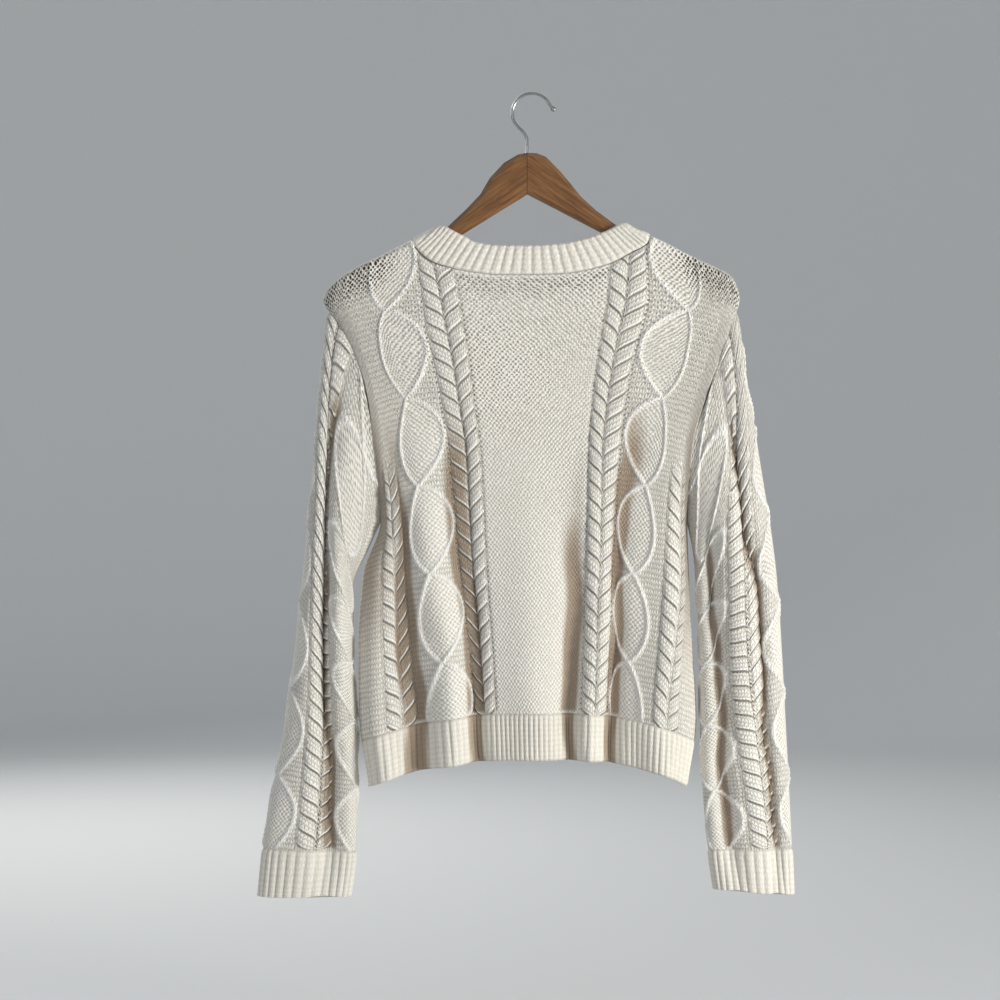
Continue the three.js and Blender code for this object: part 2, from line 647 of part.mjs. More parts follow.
// The wooden bar: the visible shaped middle and the arms that follow the shoulders.
function hangerWoodGeometry() {
  const halfThickness = 6.5;
  const bevel = 4;
  const clear = 1.9;
  const crown = [
    { x: -89, z: -140.5 }, { x: -69, z: -121.5 }, { x: -54, z: -106 }, { x: -43.5, z: -88 }, { x: -28.5, z: -72 },
    { x: -14, z: -63.5 }, { x: -4.2, z: -61.5 }, { x: 6, z: -62 }, { x: 16, z: -66 }, { x: 30.5, z: -80.5 },
    { x: 40, z: -92 }, { x: 53, z: -108 }, { x: 68, z: -122 }, { x: 89, z: -137.5 },
  ];
  const armTops = (side, xs) => xs.map((x) => ({ x: side * x, z: shoulderZ(side * x) - clear }));
  const hidden = [102, 118, 136, 150, 166, 182, 195, 202];
  const underside = [
    { x: 208, z: -213 }, { x: 204, z: -222 }, { x: 194, z: -218 }, { x: 139, z: -186 }, { x: 76, z: -147 },
    { x: -4, z: -104.8 }, { x: -72, z: -147.5 }, { x: -139, z: -187 }, { x: -194, z: -220 }, { x: -204, z: -224 },
    { x: -208, z: -215 },
  ];
  const outline = [
    ...armTops(-1, [...hidden].reverse()), ...crown, ...armTops(1, hidden), ...underside,
  ];
  const shape = new THREE.Shape();
  const inset = (k) => {
    const before = outline[(k + outline.length - 1) % outline.length];
    const after = outline[(k + 1) % outline.length];
    const dx = after.x - before.x;
    const dz = after.z - before.z;
    const size = Math.hypot(dx, dz);
    return new THREE.Vector2(outline[k].x + (dz / size) * bevel, outline[k].z - (dx / size) * bevel);
  };
  outline.forEach((_, k) => {
    const p = inset(k);
    if (k === 0) shape.moveTo(p.x, p.y);
    else shape.lineTo(p.x, p.y);
  });
  const depth = 2 * (halfThickness - bevel);
  const geometry = new THREE.ExtrudeGeometry(shape, {
    depth, bevelEnabled: true, bevelThickness: bevel, bevelSize: bevel, bevelSegments: 1, steps: 1,
  });
  geometry.translate(0, 0, -depth / 2);
  geometry.rotateX(Math.PI / 2);
  return geometry;
}

// The wire hook: a ball-ended loop open to the right, an S bend and a straight shank.
function hangerHookGeometry() {
  const wire = 1.65;
  const loop = { x: 1, z: -19.2, radius: 20.85 };
  const arc = [25, 55, 85, 115, 145, 175, 200].map((degrees) => {
    const angle = THREE.MathUtils.degToRad(degrees);
    return [loop.x + loop.radius * Math.cos(angle), loop.z + loop.radius * Math.sin(angle)];
  });
  const route = [[25.6, -16.8], [22.6, -13.8], ...arc, [-14.2, -33.2], [-7.4, -40.4], [-4.4, -47], [-4.2, -54], [-4.2, -61.1]];
  const curve = new THREE.CatmullRomCurve3(route.map(([x, z]) => new THREE.Vector3(x, 0, z)), false, 'centripetal');
  const section = new THREE.Shape();
  section.absarc(0, 0, wire, 0, 2 * Math.PI, false);
  return new THREE.ExtrudeGeometry(section, { extrudePath: curve, steps: 24, curveSegments: 4, bevelEnabled: false });
}

const yarn = new THREE.MeshStandardMaterial({ color: 0xefe9dc, roughness: 0.95, metalness: 0 });
const ribYarn = new THREE.MeshStandardMaterial({ color: 0xeee8da, roughness: 0.95, metalness: 0 });
const wood = new THREE.MeshStandardMaterial({ color: 0x7a4f26, roughness: 0.38, metalness: 0 });
const steel = new THREE.MeshStandardMaterial({ color: 0xb9bcc0, roughness: 0.22, metalness: 1 });

function piece(name, geometry, material) {
  const mesh = new THREE.Mesh(geometry, material.clone());
  mesh.name = name;
  return mesh;
}

const sweater = new THREE.Group();
sweater.add(
  piece('back_panel', panelGeometry(NEAR), yarn),
  piece('front_panel', panelGeometry(FAR), yarn),
  piece('sleeve_left', sleeveGeometry(SLEEVES.left), yarn),
  piece('sleeve_right', sleeveGeometry(SLEEVES.right), yarn),
  piece('hem_rib_back', hemGeometry(NEAR), ribYarn),
  piece('hem_rib_front', hemGeometry(FAR), ribYarn),
  piece('cuff_left', cuffGeometry(SLEEVES.left), ribYarn),
  piece('cuff_right', cuffGeometry(SLEEVES.right), ribYarn),
  piece('neckband', neckbandGeometry(), ribYarn),
  piece('hanger_wood', hangerWoodGeometry(), wood),
  piece('hanger_hook', hangerHookGeometry(), steel),
);

export default sweater;
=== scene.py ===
import math

import bpy
import numpy as np
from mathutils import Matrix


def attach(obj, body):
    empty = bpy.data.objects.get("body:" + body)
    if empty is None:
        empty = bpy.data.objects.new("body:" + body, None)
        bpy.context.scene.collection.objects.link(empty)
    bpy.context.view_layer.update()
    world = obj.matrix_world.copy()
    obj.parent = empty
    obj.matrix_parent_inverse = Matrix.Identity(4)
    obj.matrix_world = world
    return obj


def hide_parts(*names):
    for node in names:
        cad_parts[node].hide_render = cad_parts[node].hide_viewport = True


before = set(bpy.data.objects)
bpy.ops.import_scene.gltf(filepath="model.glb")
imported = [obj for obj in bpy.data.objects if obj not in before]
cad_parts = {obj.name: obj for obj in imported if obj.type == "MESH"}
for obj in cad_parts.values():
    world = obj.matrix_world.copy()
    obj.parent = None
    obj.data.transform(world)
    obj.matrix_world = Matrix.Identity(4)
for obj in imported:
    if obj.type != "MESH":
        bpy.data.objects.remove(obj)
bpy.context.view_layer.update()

# A cable knit sweater on a wooden hanger. Tables and shapes are in millimetres until a mesh is made.
MM = 0.001
NEAR, FAR = -1, 1

# Cloth and its stitches
WALL = 2.2
HALF_CHEST = 227.0
RIB_HEIGHT = 49.0
STITCH = {"width": 2.6, "row": 2.7}
# Ropes: middle and half width of one rope, slant and pitch of its lobes, their heights and their reach.
ROPE = {"middle": 8.6, "half": 7.6, "rise": 5.6, "period": 18.5, "body": 1.2, "lobe": 2.2, "scallop": 0.2,
        "reach": 20.0}
# Lattice lines: how far they swing inwards and outwards, their pitch, width, height and skew, and the
# ground beside them with its margins.
LATTICE = {
    "inner": 30.0, "outer": 20.0, "pitch": 92.5, "first": 60.0, "line": 2.0, "height": 2.0, "lean": 0.8,
    "swing": 0.85, "bead": 0.2, "ground": 0.6, "margin_in": 5.0, "margin_out": 8.0,
}
# Relief of plain cloth, of the gutters beside the ropes and of the ladders between them.
GROUND = 0.75
GUTTER = {"place": 17.4, "width": 1.6, "depth": 0.8}
LADDER_WIDTH = 0.9
PAIRS = {"inner": 84.0, "outer": 184.0, "lattice": 134.0}
MOSS_HALF = 66.0
OUTER_PAIR_TOP = (250.0, 290.0)

BODY_COLUMNS = np.array([-227, -184, -134, -84, 84, 134, 184, 227], float)
# The body at a few heights: x of the stitch columns above, and its half depth.
BODY_SECTIONS = [
    (-130, (-220, -196, -150, -106, 104, 154, 198, 220), 9.4),
    (-154, (-220, -196, -150, -106, 104, 154, 198, 220), 9.6),
    (-217, (-219, -197, -154, -95, 100, 167, 198, 219), 10.5),
    (-240, (-203, -189, -154, -91, 95, 163, 198, 211), 11.2),
    (-274, (-185, -178, -146, -84, 88, 150, 188, 200), 12.5),
    (-319, (-173, -165, -132, -77, 81, 138, 174, 185), 14.5),
    (-376, (-164, -156, -124, -68, 75, 127, 160, 168), 17),
    (-450, (-157, -147, -114, -63, 73, 115, 155, 163), 19.5),
    (-510, (-176, -145, -106, -59, 71, 107, 155, 165), 21),
    (-588, (-181, -142, -94, -52, 68, 103, 148, 169), 23),
    (-662, (-180, -137, -86, -47, 65, 101, 140, 173), 24.5),
    (-740, (-170, -134, -82, -44, 64, 101, 138, 163), 25.5),
]
SHOULDER_LINE = [
    (-223, -232), (-218, -216), (-212.5, -206), (-202, -196), (-185, -185), (-161, -173.5), (-137.5, -161.5),
    (-112, -149), (-88, -139), (88, -136), (112, -145.5), (138, -156.5), (166, -171), (197, -185.5),
    (210, -193), (217, -207), (223, -228),
]
NECK_LEFT, NECK_RIGHT = -125.4, 126.0
NECK_SEAM = {
    NEAR: [
        (-125.4, -155.4), (-123.2, -162.4), (-101, -180), (-69, -188), (-33, -192), (2, -192), (37, -190.5),
        (81, -181), (107, -168), (123.5, -158.5), (126, -151.4),
    ],
    FAR: [
        (-125.4, -155.4), (-123.2, -162.4), (-114, -196), (-82, -232), (-40, -252), (2, -257), (44, -251),
        (86, -228), (116, -190), (123.5, -158.5), (126, -151.4),
    ],
}
NECK_EDGE = {
    NEAR: [
        (-96, -141), (-71, -150.5), (-59, -157), (-33, -160.5), (2, -160.5), (28, -159), (54, -154),
        (77, -146), (97, -138.4),
    ],
    FAR: [
        (-96, -141), (-84, -178), (-64, -203), (-34, -219), (2, -224), (38, -218), (68, -199), (88, -170),
        (97, -138.4),
    ],
}
# Folds of the body: stitch column, push out (or in), width there, and the height where they begin.
BODY_FOLDS = {
    NEAR: [
        (-212, 6, 16, -480), (-170, -11, 18, -330), (-128, 10, 22, -340), (-98, -12, 19, -320),
        (-12, 9, 40, -360), (46, -8, 18, -440), (84, 9, 17, -330), (110, -12, 19, -320), (178, 10, 26, -330),
    ],
    FAR: [
        (-190, -9, 18, -400), (-140, 9, 23, -340), (-92, -12, 19, -340), (-30, 7, 30, -420),
        (26, -9, 20, -400), (76, 10, 18, -340), (124, -12, 19, -330), (176, 9, 22, -380),
    ],
}
# Sleeves: rings from the armhole (0) to the cuff seam (1), as x and z of both folds, half depth and shift.
SLEEVES = {
    "left": {
        "side": -1,
        "rings": [
            (0, -218, -229, -163, -450, 15, 0), (0.12, -220, -298, -176, -482, 21, 3),
            (0.25, -226, -372, -191, -520, 24, 5), (0.5, -239, -514, -191, -592, 25, 6),
            (0.75, -256, -657, -186, -684, 21, 6), (1, -281, -797, -188, -800, 14, 4),
            (1.09, -286, -848, -194, -848, 12.5, 4),
        ],
        "folds": [
            (0.2, 0.72, -16, 0.15, 0.02, 0.9, NEAR), (0.72, 0.85, 5, 0.14, 0.1, 0.5, NEAR),
            (0.62, 0.45, -9, 0.18, 0.1, 0.7, FAR),
        ],
        "cable": [(0, 0.16), (0.3, 0.34), (0.7, 0.49), (1, 0.54)],
    },
    "right": {
        "side": 1,
        "rings": [
            (0, 219, -222, 169, -450, 15, 0), (0.12, 225, -292, 174, -480, 20, 2),
            (0.25, 236, -368, 177, -516, 23, 4), (0.5, 257, -514, 181, -592, 24, 5),
            (0.75, 266, -660, 182, -690, 21, 5), (1, 273, -797, 190, -798, 14, 4),
            (1.09, 275, -846, 196, -840, 12.5, 4),
        ],
        "folds": [
            (0.34, 0.22, -12, 0.09, 0.05, 0.9, NEAR), (0.86, 0.74, -11, 0.13, 0.12, 0.9, NEAR),
            (0.3, 0.5, -9, 0.18, 0.1, 0.7, FAR),
        ],
        "cable": [(0, 0.2), (0.3, 0.4), (0.55, 0.46), (1, 0.37)],
    },
}
SLEEVE_LENGTH = 575.0
HALF_ROUND = 120.0
SLEEVE_LATTICE = 50.0
ARMHOLE = {"depth": 15.0, "tip": -228.0, "underarm": -450.0, "clear": 1.2, "room": 3.4}
HEM_MIDDLE, HEM_DROOP = -702.0, 30.0
LEAST_DEPTH = 7.5
SIDE_ROUNDING = 26.0
SHOULDER_ROUNDING = {"depth": 8.0, "height": 5.0, "slope": 0.35}
NECK_CLEAR = 1.0
NECK_DEPTH = {NEAR: 10.0, FAR: 11.5}
NECK_HEIGHT = 31.0
HEM_RIBS, CUFF_RIBS, NECK_RIBS = 63, 29, 68
RIB_RELIEF = 1.75
PORE = 5.3
# How open the knit is, as shares and the spans in which they grow: at the shoulder tips, under the neckband,
# up the panel, beside the ropes and in the ladders.
OPEN = {
    "tip": (12, 62), "tip_from": (95, 150), "yoke": (8, 55), "yoke_to": (60, 90), "yoke_share": 0.7,
    "least": 0.1, "upper": (-480, -240), "upper_share": 0.32, "beside": 17.5, "beside_width": 2.5,
    "beside_share": 0.7, "ladder": 1.6, "rope": 15.0,
}
SLEEVE_OPEN = {"seam": (5, 40), "seam_share": 0.6, "least": 0.2, "beside": (14, 18)}
SLEEVE_MOSS = (78, 82)
# Shade in the fold where a body panel is drawn in under the sleeve.
BESIDE_SLEEVE = {"columns": (175, 224), "top": (-300, -390), "bottom": (-620, -500), "share": 0.8}
FOLD_GROWTH = 1.25
# Relief that counts as a crest, and how many cells to each side a fold is measured over.
DEEP = {"knit": 2.2, "rib": 1.6}
FOLD_REACH = {"panel": 12, "hem": 16, "sleeve": 8}
# Cells of the fine grids: across and down a panel and a sleeve, across a rib, and up each band.
CELLS = {"panel": (280, 296), "sleeve": (136, 352), "rib": 8, "hem": 16, "cuff": 16, "neckband": 12}
CUFF_END = 1.09

# Hanger, camera, floor and lights
HOOK = {
    "tip": [(25.6, -16.8), (22.6, -13.8)],
    "loop": (1.0, -19.2, 20.85),
    "turn": (25, 206, 12),
    "shank": [(-14.2, -33.2), (-7.4, -40.4), (-4.4, -47), (-4.2, -54), (-4.2, -62.5)],
    "steps": 181, "sides": 20,
}
MITRE_X = -4.2
ARM_ANGLE = 35.0
WIRE_RADIUS, BALL_RADIUS = 1.65, 2.9
SENSOR, CAMERA_AWAY, FRAME_WIDTH = 36.0, 2.5, 1.06
FRAME_MIDDLE = (-0.0329, -0.4292)
FLOOR_Z = -1.05
SWEEP = {"middle": 0.02, "floor": 3.4, "bend": 1.2, "top": 3.2, "sides": 96, "steps": 12}
SURROUND = {"colour": "#dde0e4", "strength": 0.62}
LIGHTS_AIM = np.array([-0.02, 0.0, -0.42])
# Name, place in metres, size in metres, watts and colour.
LIGHTS = [
    ("key from the right", (2.2, -1.5, -0.4), 0.8, 62.0, "#fffdf8"),
    ("fill from the left", (-1.6, -2.6, 0.3), 2.0, 11.0, "#f2f5ff"),
    ("light on the far side", (-1.2, 2.4, 0.9), 1.4, 44.0, "#fffdf8"),
]


def curve(rows, key=0, value=1):
    """A soft curve through two columns of a table, as a function of the first one."""
    table = sorted((row[key], row[value]) for row in rows)
    keys = np.array([row[0] for row in table], float)
    values = np.array([row[1] for row in table], float)
    steps = np.diff(values) / np.diff(keys)
    slopes = np.zeros(len(keys))
    together = steps[:-1] * steps[1:] > 0
    slopes[1:-1][together] = (2 * steps[:-1] * steps[1:])[together] / (steps[:-1] + steps[1:])[together]

    def at(place):
        k = np.clip(np.searchsorted(keys, place) - 1, 0, len(keys) - 2)
        span = keys[k + 1] - keys[k]
        t = np.clip((place - keys[k]) / span, 0, 1)
        t2, t3 = t * t, t * t * t
        low = values[k] * (2 * t3 - 3 * t2 + 1) + span * slopes[k] * (t3 - 2 * t2 + t)
        return low + values[k + 1] * (3 * t2 - 2 * t3) + span * slopes[k + 1] * (t3 - t2)

    return at


def smooth(a, b, x):
    """A soft step, 0 at a and 1 at b."""
    t = np.clip((x - a) / (b - a), 0, 1)
    return t * t * (3 - 2 * t)


def falling(a, b, x):
    """A soft step, 1 at a and 0 at b."""
    return 1 - smooth(a, b, x)


def bell(x, width):
    """A soft bump: 1 in its middle, falling to both sides."""
    return np.exp(-((x / width) ** 2))


def wave(x, *terms):
    """A fixed uneven wave: a sum of (size, length, phase)."""
    return sum(size * np.sin(2 * math.pi * x / length + phase) for size, length, phase in terms)


column_curves = [curve([(z, xs[k]) for z, xs, _ in BODY_SECTIONS]) for k in range(len(BODY_COLUMNS))]
depth_curve = curve([(z, depth) for z, _, depth in BODY_SECTIONS])
shoulder_z = curve(SHOULDER_LINE)
neck_seam = {face: curve(rows) for face, rows in NECK_SEAM.items()}
neck_edge = {face: curve(rows) for face, rows in NECK_EDGE.items()}


def column_x(column, z):
    """x of a stitch column at a height."""
    column, z = np.broadcast_arrays(np.asarray(column, float), np.asarray(z, float))
    table = np.stack([at(z) for at in column_curves])
    k = np.clip(np.searchsorted(BODY_COLUMNS, column) - 1, 0, len(BODY_COLUMNS) - 2)
    part = (column - BODY_COLUMNS[k]) / (BODY_COLUMNS[k + 1] - BODY_COLUMNS[k])
    low = np.take_along_axis(table, k[None], 0)[0]
    high = np.take_along_axis(table, k[None] + 1, 0)[0]
    return low + (high - low) * part


def hem_z(column):
    """The height of the hem's end, which droops towards both sides."""
    return HEM_MIDDLE - HEM_DROOP * np.abs(column / HALF_CHEST) ** 3


def top_z(column, face):
    """The height where a stitch column ends, at the shoulder or at the neckline."""
    z = np.full(np.shape(column), -190.0)
    for _ in range(24):
        x = column_x(column, z)
        shoulder = shoulder_z(x)
        neck = np.where((x > NECK_LEFT) & (x < NECK_RIGHT), neck_seam[face](x), shoulder)
        z = z + (np.minimum(neck, shoulder) - z) * 0.6
    return z


def armhole_depth(z):
    """How far a panel's side edge stands off the middle plane, along the armhole."""
    part = np.clip((ARMHOLE["tip"] - z) / (ARMHOLE["tip"] - ARMHOLE["underarm"]), 0, 1)
    return ARMHOLE["depth"] * np.abs(np.sin(math.pi * part)) ** 0.7


def off_middle(x, z, depth):
    """How far cloth that runs over the shoulder line stands off the middle plane."""
    drop = np.maximum(0, shoulder_z(x) - z)
    turned = np.minimum(1, drop / SHOULDER_ROUNDING["height"])
    over = SHOULDER_ROUNDING["depth"] * np.sqrt(1 - (1 - turned) ** 2)
    return np.minimum(depth, over + drop * SHOULDER_ROUNDING["slope"])


def body_point(column, z, face):
    """The inside of a body panel."""
    column, z = np.broadcast_arrays(np.asarray(column, float), np.asarray(z, float))
    x = column_x(column, z)
    edge = column_x(np.where(column < 0, -HALF_CHEST, HALF_CHEST), z)
    inward = np.clip(np.abs(x - edge) / SIDE_ROUNDING, 0, 1)
    rounding = np.sqrt(1 - (1 - inward) ** 2)
    depth = depth_curve(z)
    for place, push, width, start in BODY_FOLDS[face]:
        grown = np.clip((start - z) / (start - HEM_MIDDLE), 0, 1) ** 0.8
        wander = wave(z, (3.0, 210, place), (1.4, 90, place * 2.0))
        depth = depth + FOLD_GROWTH * push * grown * bell(column + wander - place, width)
    seam = armhole_depth(z)
    depth = seam + (np.maximum(depth, LEAST_DEPTH) - seam) * rounding
    return np.stack([x, face * off_middle(x, z, depth), z], -1)


def normals_of(points, closed):
    """Unit normals of a grid of points, along its first axis times its second."""
    if closed:
        across = np.roll(points, -1, 0) - np.roll(points, 1, 0)
    else:
        across = np.gradient(points, axis=0)
    along = np.gradient(points, axis=1)
    normal = np.cross(across, along)
    return normal / np.maximum(np.linalg.norm(normal, axis=-1, keepdims=True), 1e-9)


def sleeve_loft(sleeve, turn, at):
    """A sleeve drawn through its rings, before its folds and its armhole."""
    ring = [curve(sleeve["rings"], 0, k)(at) for k in range(1, 7)]
    across = (1 - np.cos(turn)) / 2
    high = -np.sign(np.sin(turn)) * np.abs(np.sin(turn)) ** 0.8
    x = ring[0] + (ring[2] - ring[0]) * across
    z = ring[1] + (ring[3] - ring[1]) * across
    return np.stack([x, ring[4] * high - ring[5], z], -1)


def armhole_seam(sleeve, across, face):
    """The sleeve's edge along the armhole, just outside the body panel's edge."""
    tip, underarm = ARMHOLE["tip"] - 1, ARMHOLE["underarm"] + 1
    z = tip + (underarm - tip) * across
    column = sleeve["side"] * HALF_CHEST
    both = {f: (body_point(column, z, f), body_point(column * 0.99, z, f)) for f in (NEAR, FAR)}
    near = (face == NEAR)[..., None]
    point = np.where(near, both[NEAR][0], both[FAR][0])
    away = point - np.where(near, both[NEAR][1], both[FAR][1])
    away = away / np.maximum(np.linalg.norm(away, axis=-1, keepdims=True), 1e-9)
    under = smooth(0.72, 0.97, across)[..., None]
    point = point + away * ARMHOLE["clear"] * (1 - under)
    point[..., 0] += sleeve["side"] * ARMHOLE["room"] * under[..., 0]
    point[..., 2] -= falling(0.1, 0.35, across) * 3
    return point


def sleeve_point(sleeve, turn, at):
    """The inside of a sleeve: a turn of 0 is its outer fold, half a turn is the underarm."""
    turn, at = np.broadcast_arrays(np.arctan2(np.sin(turn), np.cos(turn)), np.asarray(at, float))
    point = sleeve_loft(sleeve, turn, at)
    across = (1 - np.cos(turn)) / 2
    face = np.where(np.sin(turn) >= 0, NEAR, FAR)
    for start, end, push, width, first, last, side in sleeve["folds"]:
        middle = start + (end - start) * at + wave(at, (0.02, 0.43, start * 9), (0.012, 0.19, end * 9))
        shown = smooth(first, first + 0.2, at) * falling(last, last + 0.25, at)
        edge = np.minimum(1, np.abs(np.sin(turn)) * 1.6)
        depth = push * shown * edge * bell(across - middle, width)
        point[..., 1] += np.where(face == side, face * depth, 0)
    blend = np.maximum(0, 1 - at / 0.2) ** 2
    seam = armhole_seam(sleeve, across, face)
    return point + (seam - sleeve_loft(sleeve, turn, np.zeros_like(at))) * blend[..., None]


def neck_point(turn, up):
    """The inside of the neckband: 0 up is its seam, 1 its edge."""
    turn = np.arctan2(np.sin(turn), np.cos(turn))
    part = (1 - np.cos(turn)) / 2
    near = np.sin(turn) >= 0

    def line(rows, at):
        first = {f: rows[f][0][0] for f in rows}
        last = {f: rows[f][-1][0] for f in rows}
        x = {f: first[f] + (last[f] - first[f]) * part for f in rows}
        xs = np.where(near, x[NEAR], x[FAR])
        return np.stack([xs, np.where(near, at[NEAR](xs), at[FAR](xs))], -1)

    low, high = line(NECK_SEAM, neck_seam), line(NECK_EDGE, neck_edge)
    start = NECK_CLEAR / np.linalg.norm(high - low, axis=-1)
    share = (start + up * (1 - start))[..., None]
    xz = low + (high - low) * share
    depth = np.where(near, NECK_DEPTH[NEAR], NECK_DEPTH[FAR])
    y = np.where(near, NEAR, FAR) * off_middle(xz[..., 0], xz[..., 1], depth)
    return np.stack([xz[..., 0], y, xz[..., 1]], -1)


def rope_pair(u, v):
    """Two mirrored ropes with a ladder between them: their relief, the slanted height of their stitches,
    where the ropes are, and which lobe a place is in, as a number that grows by one from lobe to lobe."""
    w = (np.abs(u) - ROPE["middle"]) / ROPE["half"]
    slant = ROPE["rise"] * np.arcsin(np.clip(w, -1, 1))
    lobe = (v - slant) / ROPE["period"]
    f = lobe - np.floor(lobe)
    edge_phase = (v - ROPE["rise"] * math.pi / 2) / ROPE["period"] * math.pi
    edge = 1 - ROPE["scallop"] * (1 - np.abs(np.sin(edge_phase)) ** 0.7) * (w > 0)
    w = w / edge
    inside = np.abs(w) < 1
    swell = smooth(0, 0.2, f) * (1 - 0.75 * smooth(0.25, 1.0, f))
    relief = np.clip(1 - w * w, 0, 1) ** 0.4 * (ROPE["body"] + ROPE["lobe"] * swell)
    return np.where(inside, relief, 0), np.where(inside, -slant, 0), inside, lobe


def lattice(u, v):
    """Two travelling lines that cross, 1 on their crests, and how far a place lies inside their diamonds.
    u is positive towards the rope pair beside the lattice, where the line swings wider and turns sooner."""
    share = (v - LATTICE["first"]) / LATTICE["pitch"]
    share = 1 - (share - np.floor(share))
    early = np.sin(math.pi * share ** LATTICE["lean"]) ** LATTICE["swing"]
    late = np.sin(math.pi * (1 - (1 - share) ** LATTICE["lean"])) ** LATTICE["swing"]
    rise = np.maximum(np.abs(np.gradient(v, axis=-1)), 1e-6)
    ridge = np.zeros(u.shape)
    for way, reach in ((1, LATTICE["inner"] * early), (-1, LATTICE["outer"] * late)):
        slope = np.clip(np.abs(np.gradient(reach, axis=-1)) / rise, 0, 3)
        off = (way * u - np.maximum(reach, 1.2)) / np.sqrt(1 + slope**2)
        ridge = np.maximum(ridge, bell(off, LATTICE["line"]))
    bead = 1 + LATTICE["bead"] * np.cos(math.pi * v / STITCH["row"])
    within = np.minimum(LATTICE["inner"] * early - u, LATTICE["outer"] * late + u)
    return ridge * bead, smooth(1.5, 4.0, within)


def knit(pairs, lattices, u, v, moss_half, strengths):
    """Relief in mm and the slanted height over cloth coordinates u (across) and v (up), with these marks:
    the moss share, the rope share, the lobe number and the crests of the lattice lines."""
    relief = np.full(u.shape, GROUND)
    moss = smooth(moss_half + 2, moss_half - 2, np.abs(u)) if moss_half else np.zeros(u.shape)
    grain = np.array(v, float)
    ropes = np.zeros(u.shape)
    lobes = np.zeros(u.shape)
    lines = np.zeros(u.shape)
    for centre in lattices:
        inward = (u - centre) * -np.sign(centre)
        ridge, diamond = lattice(inward, v)
        near = inward < LATTICE["inner"] + LATTICE["margin_in"]
        near &= inward > -LATTICE["outer"] - LATTICE["margin_out"]
        raised = LATTICE["ground"] + LATTICE["height"] * ridge
        relief = np.where(near, np.maximum(relief, raised), relief)
        lines = np.where(near, np.maximum(lines, ridge), lines)
        moss = np.where(near, np.maximum(moss, diamond), moss)
    for centre, strength in zip(pairs, strengths):
        rope, slant, inside, lobe = rope_pair(u - centre, v)
        gutter = bell(np.abs(u - centre) - GUTTER["place"], GUTTER["width"])
        relief = relief - GUTTER["depth"] * gutter * strength
        relief = np.where(inside, relief * (1 - strength) + rope * strength, relief)
        relief = relief * (1 - bell(u - centre, LADDER_WIDTH) * strength)
        grain = grain + slant * strength
        moss = moss * (1 - inside * strength)
        lines = lines * (1 - inside * strength)
        ropes = np.maximum(ropes, inside * strength)
        lobes = np.where(np.abs(u - centre) < ROPE["reach"], lobe, lobes)
    marks = {"moss": moss, "rope": ropes, "lobe": lobes, "line": lines}
    return relief, grain, {name: (mark, 0.0) for name, mark in marks.items()}


def ribbing(u, period):
    """Relief of ribs: round crests with narrow grooves between them."""
    f = u / period - np.floor(u / period)
    return RIB_RELIEF * np.clip(1 - (2 * f - 1) ** 2, 0, 1) ** 0.8


def new_object(name, points, faces, material):
    """A smooth-shaded object in the scene, from points in metres."""
    mesh = bpy.data.meshes.new(name)
    mesh.from_pydata(np.asarray(points).tolist(), [], faces)
    mesh.polygons.foreach_set("use_smooth", np.ones(len(mesh.polygons), bool))
    mesh.materials.append(material)
    piece = bpy.data.objects.new(name, mesh)
    bpy.context.scene.collection.objects.link(piece)
    return piece


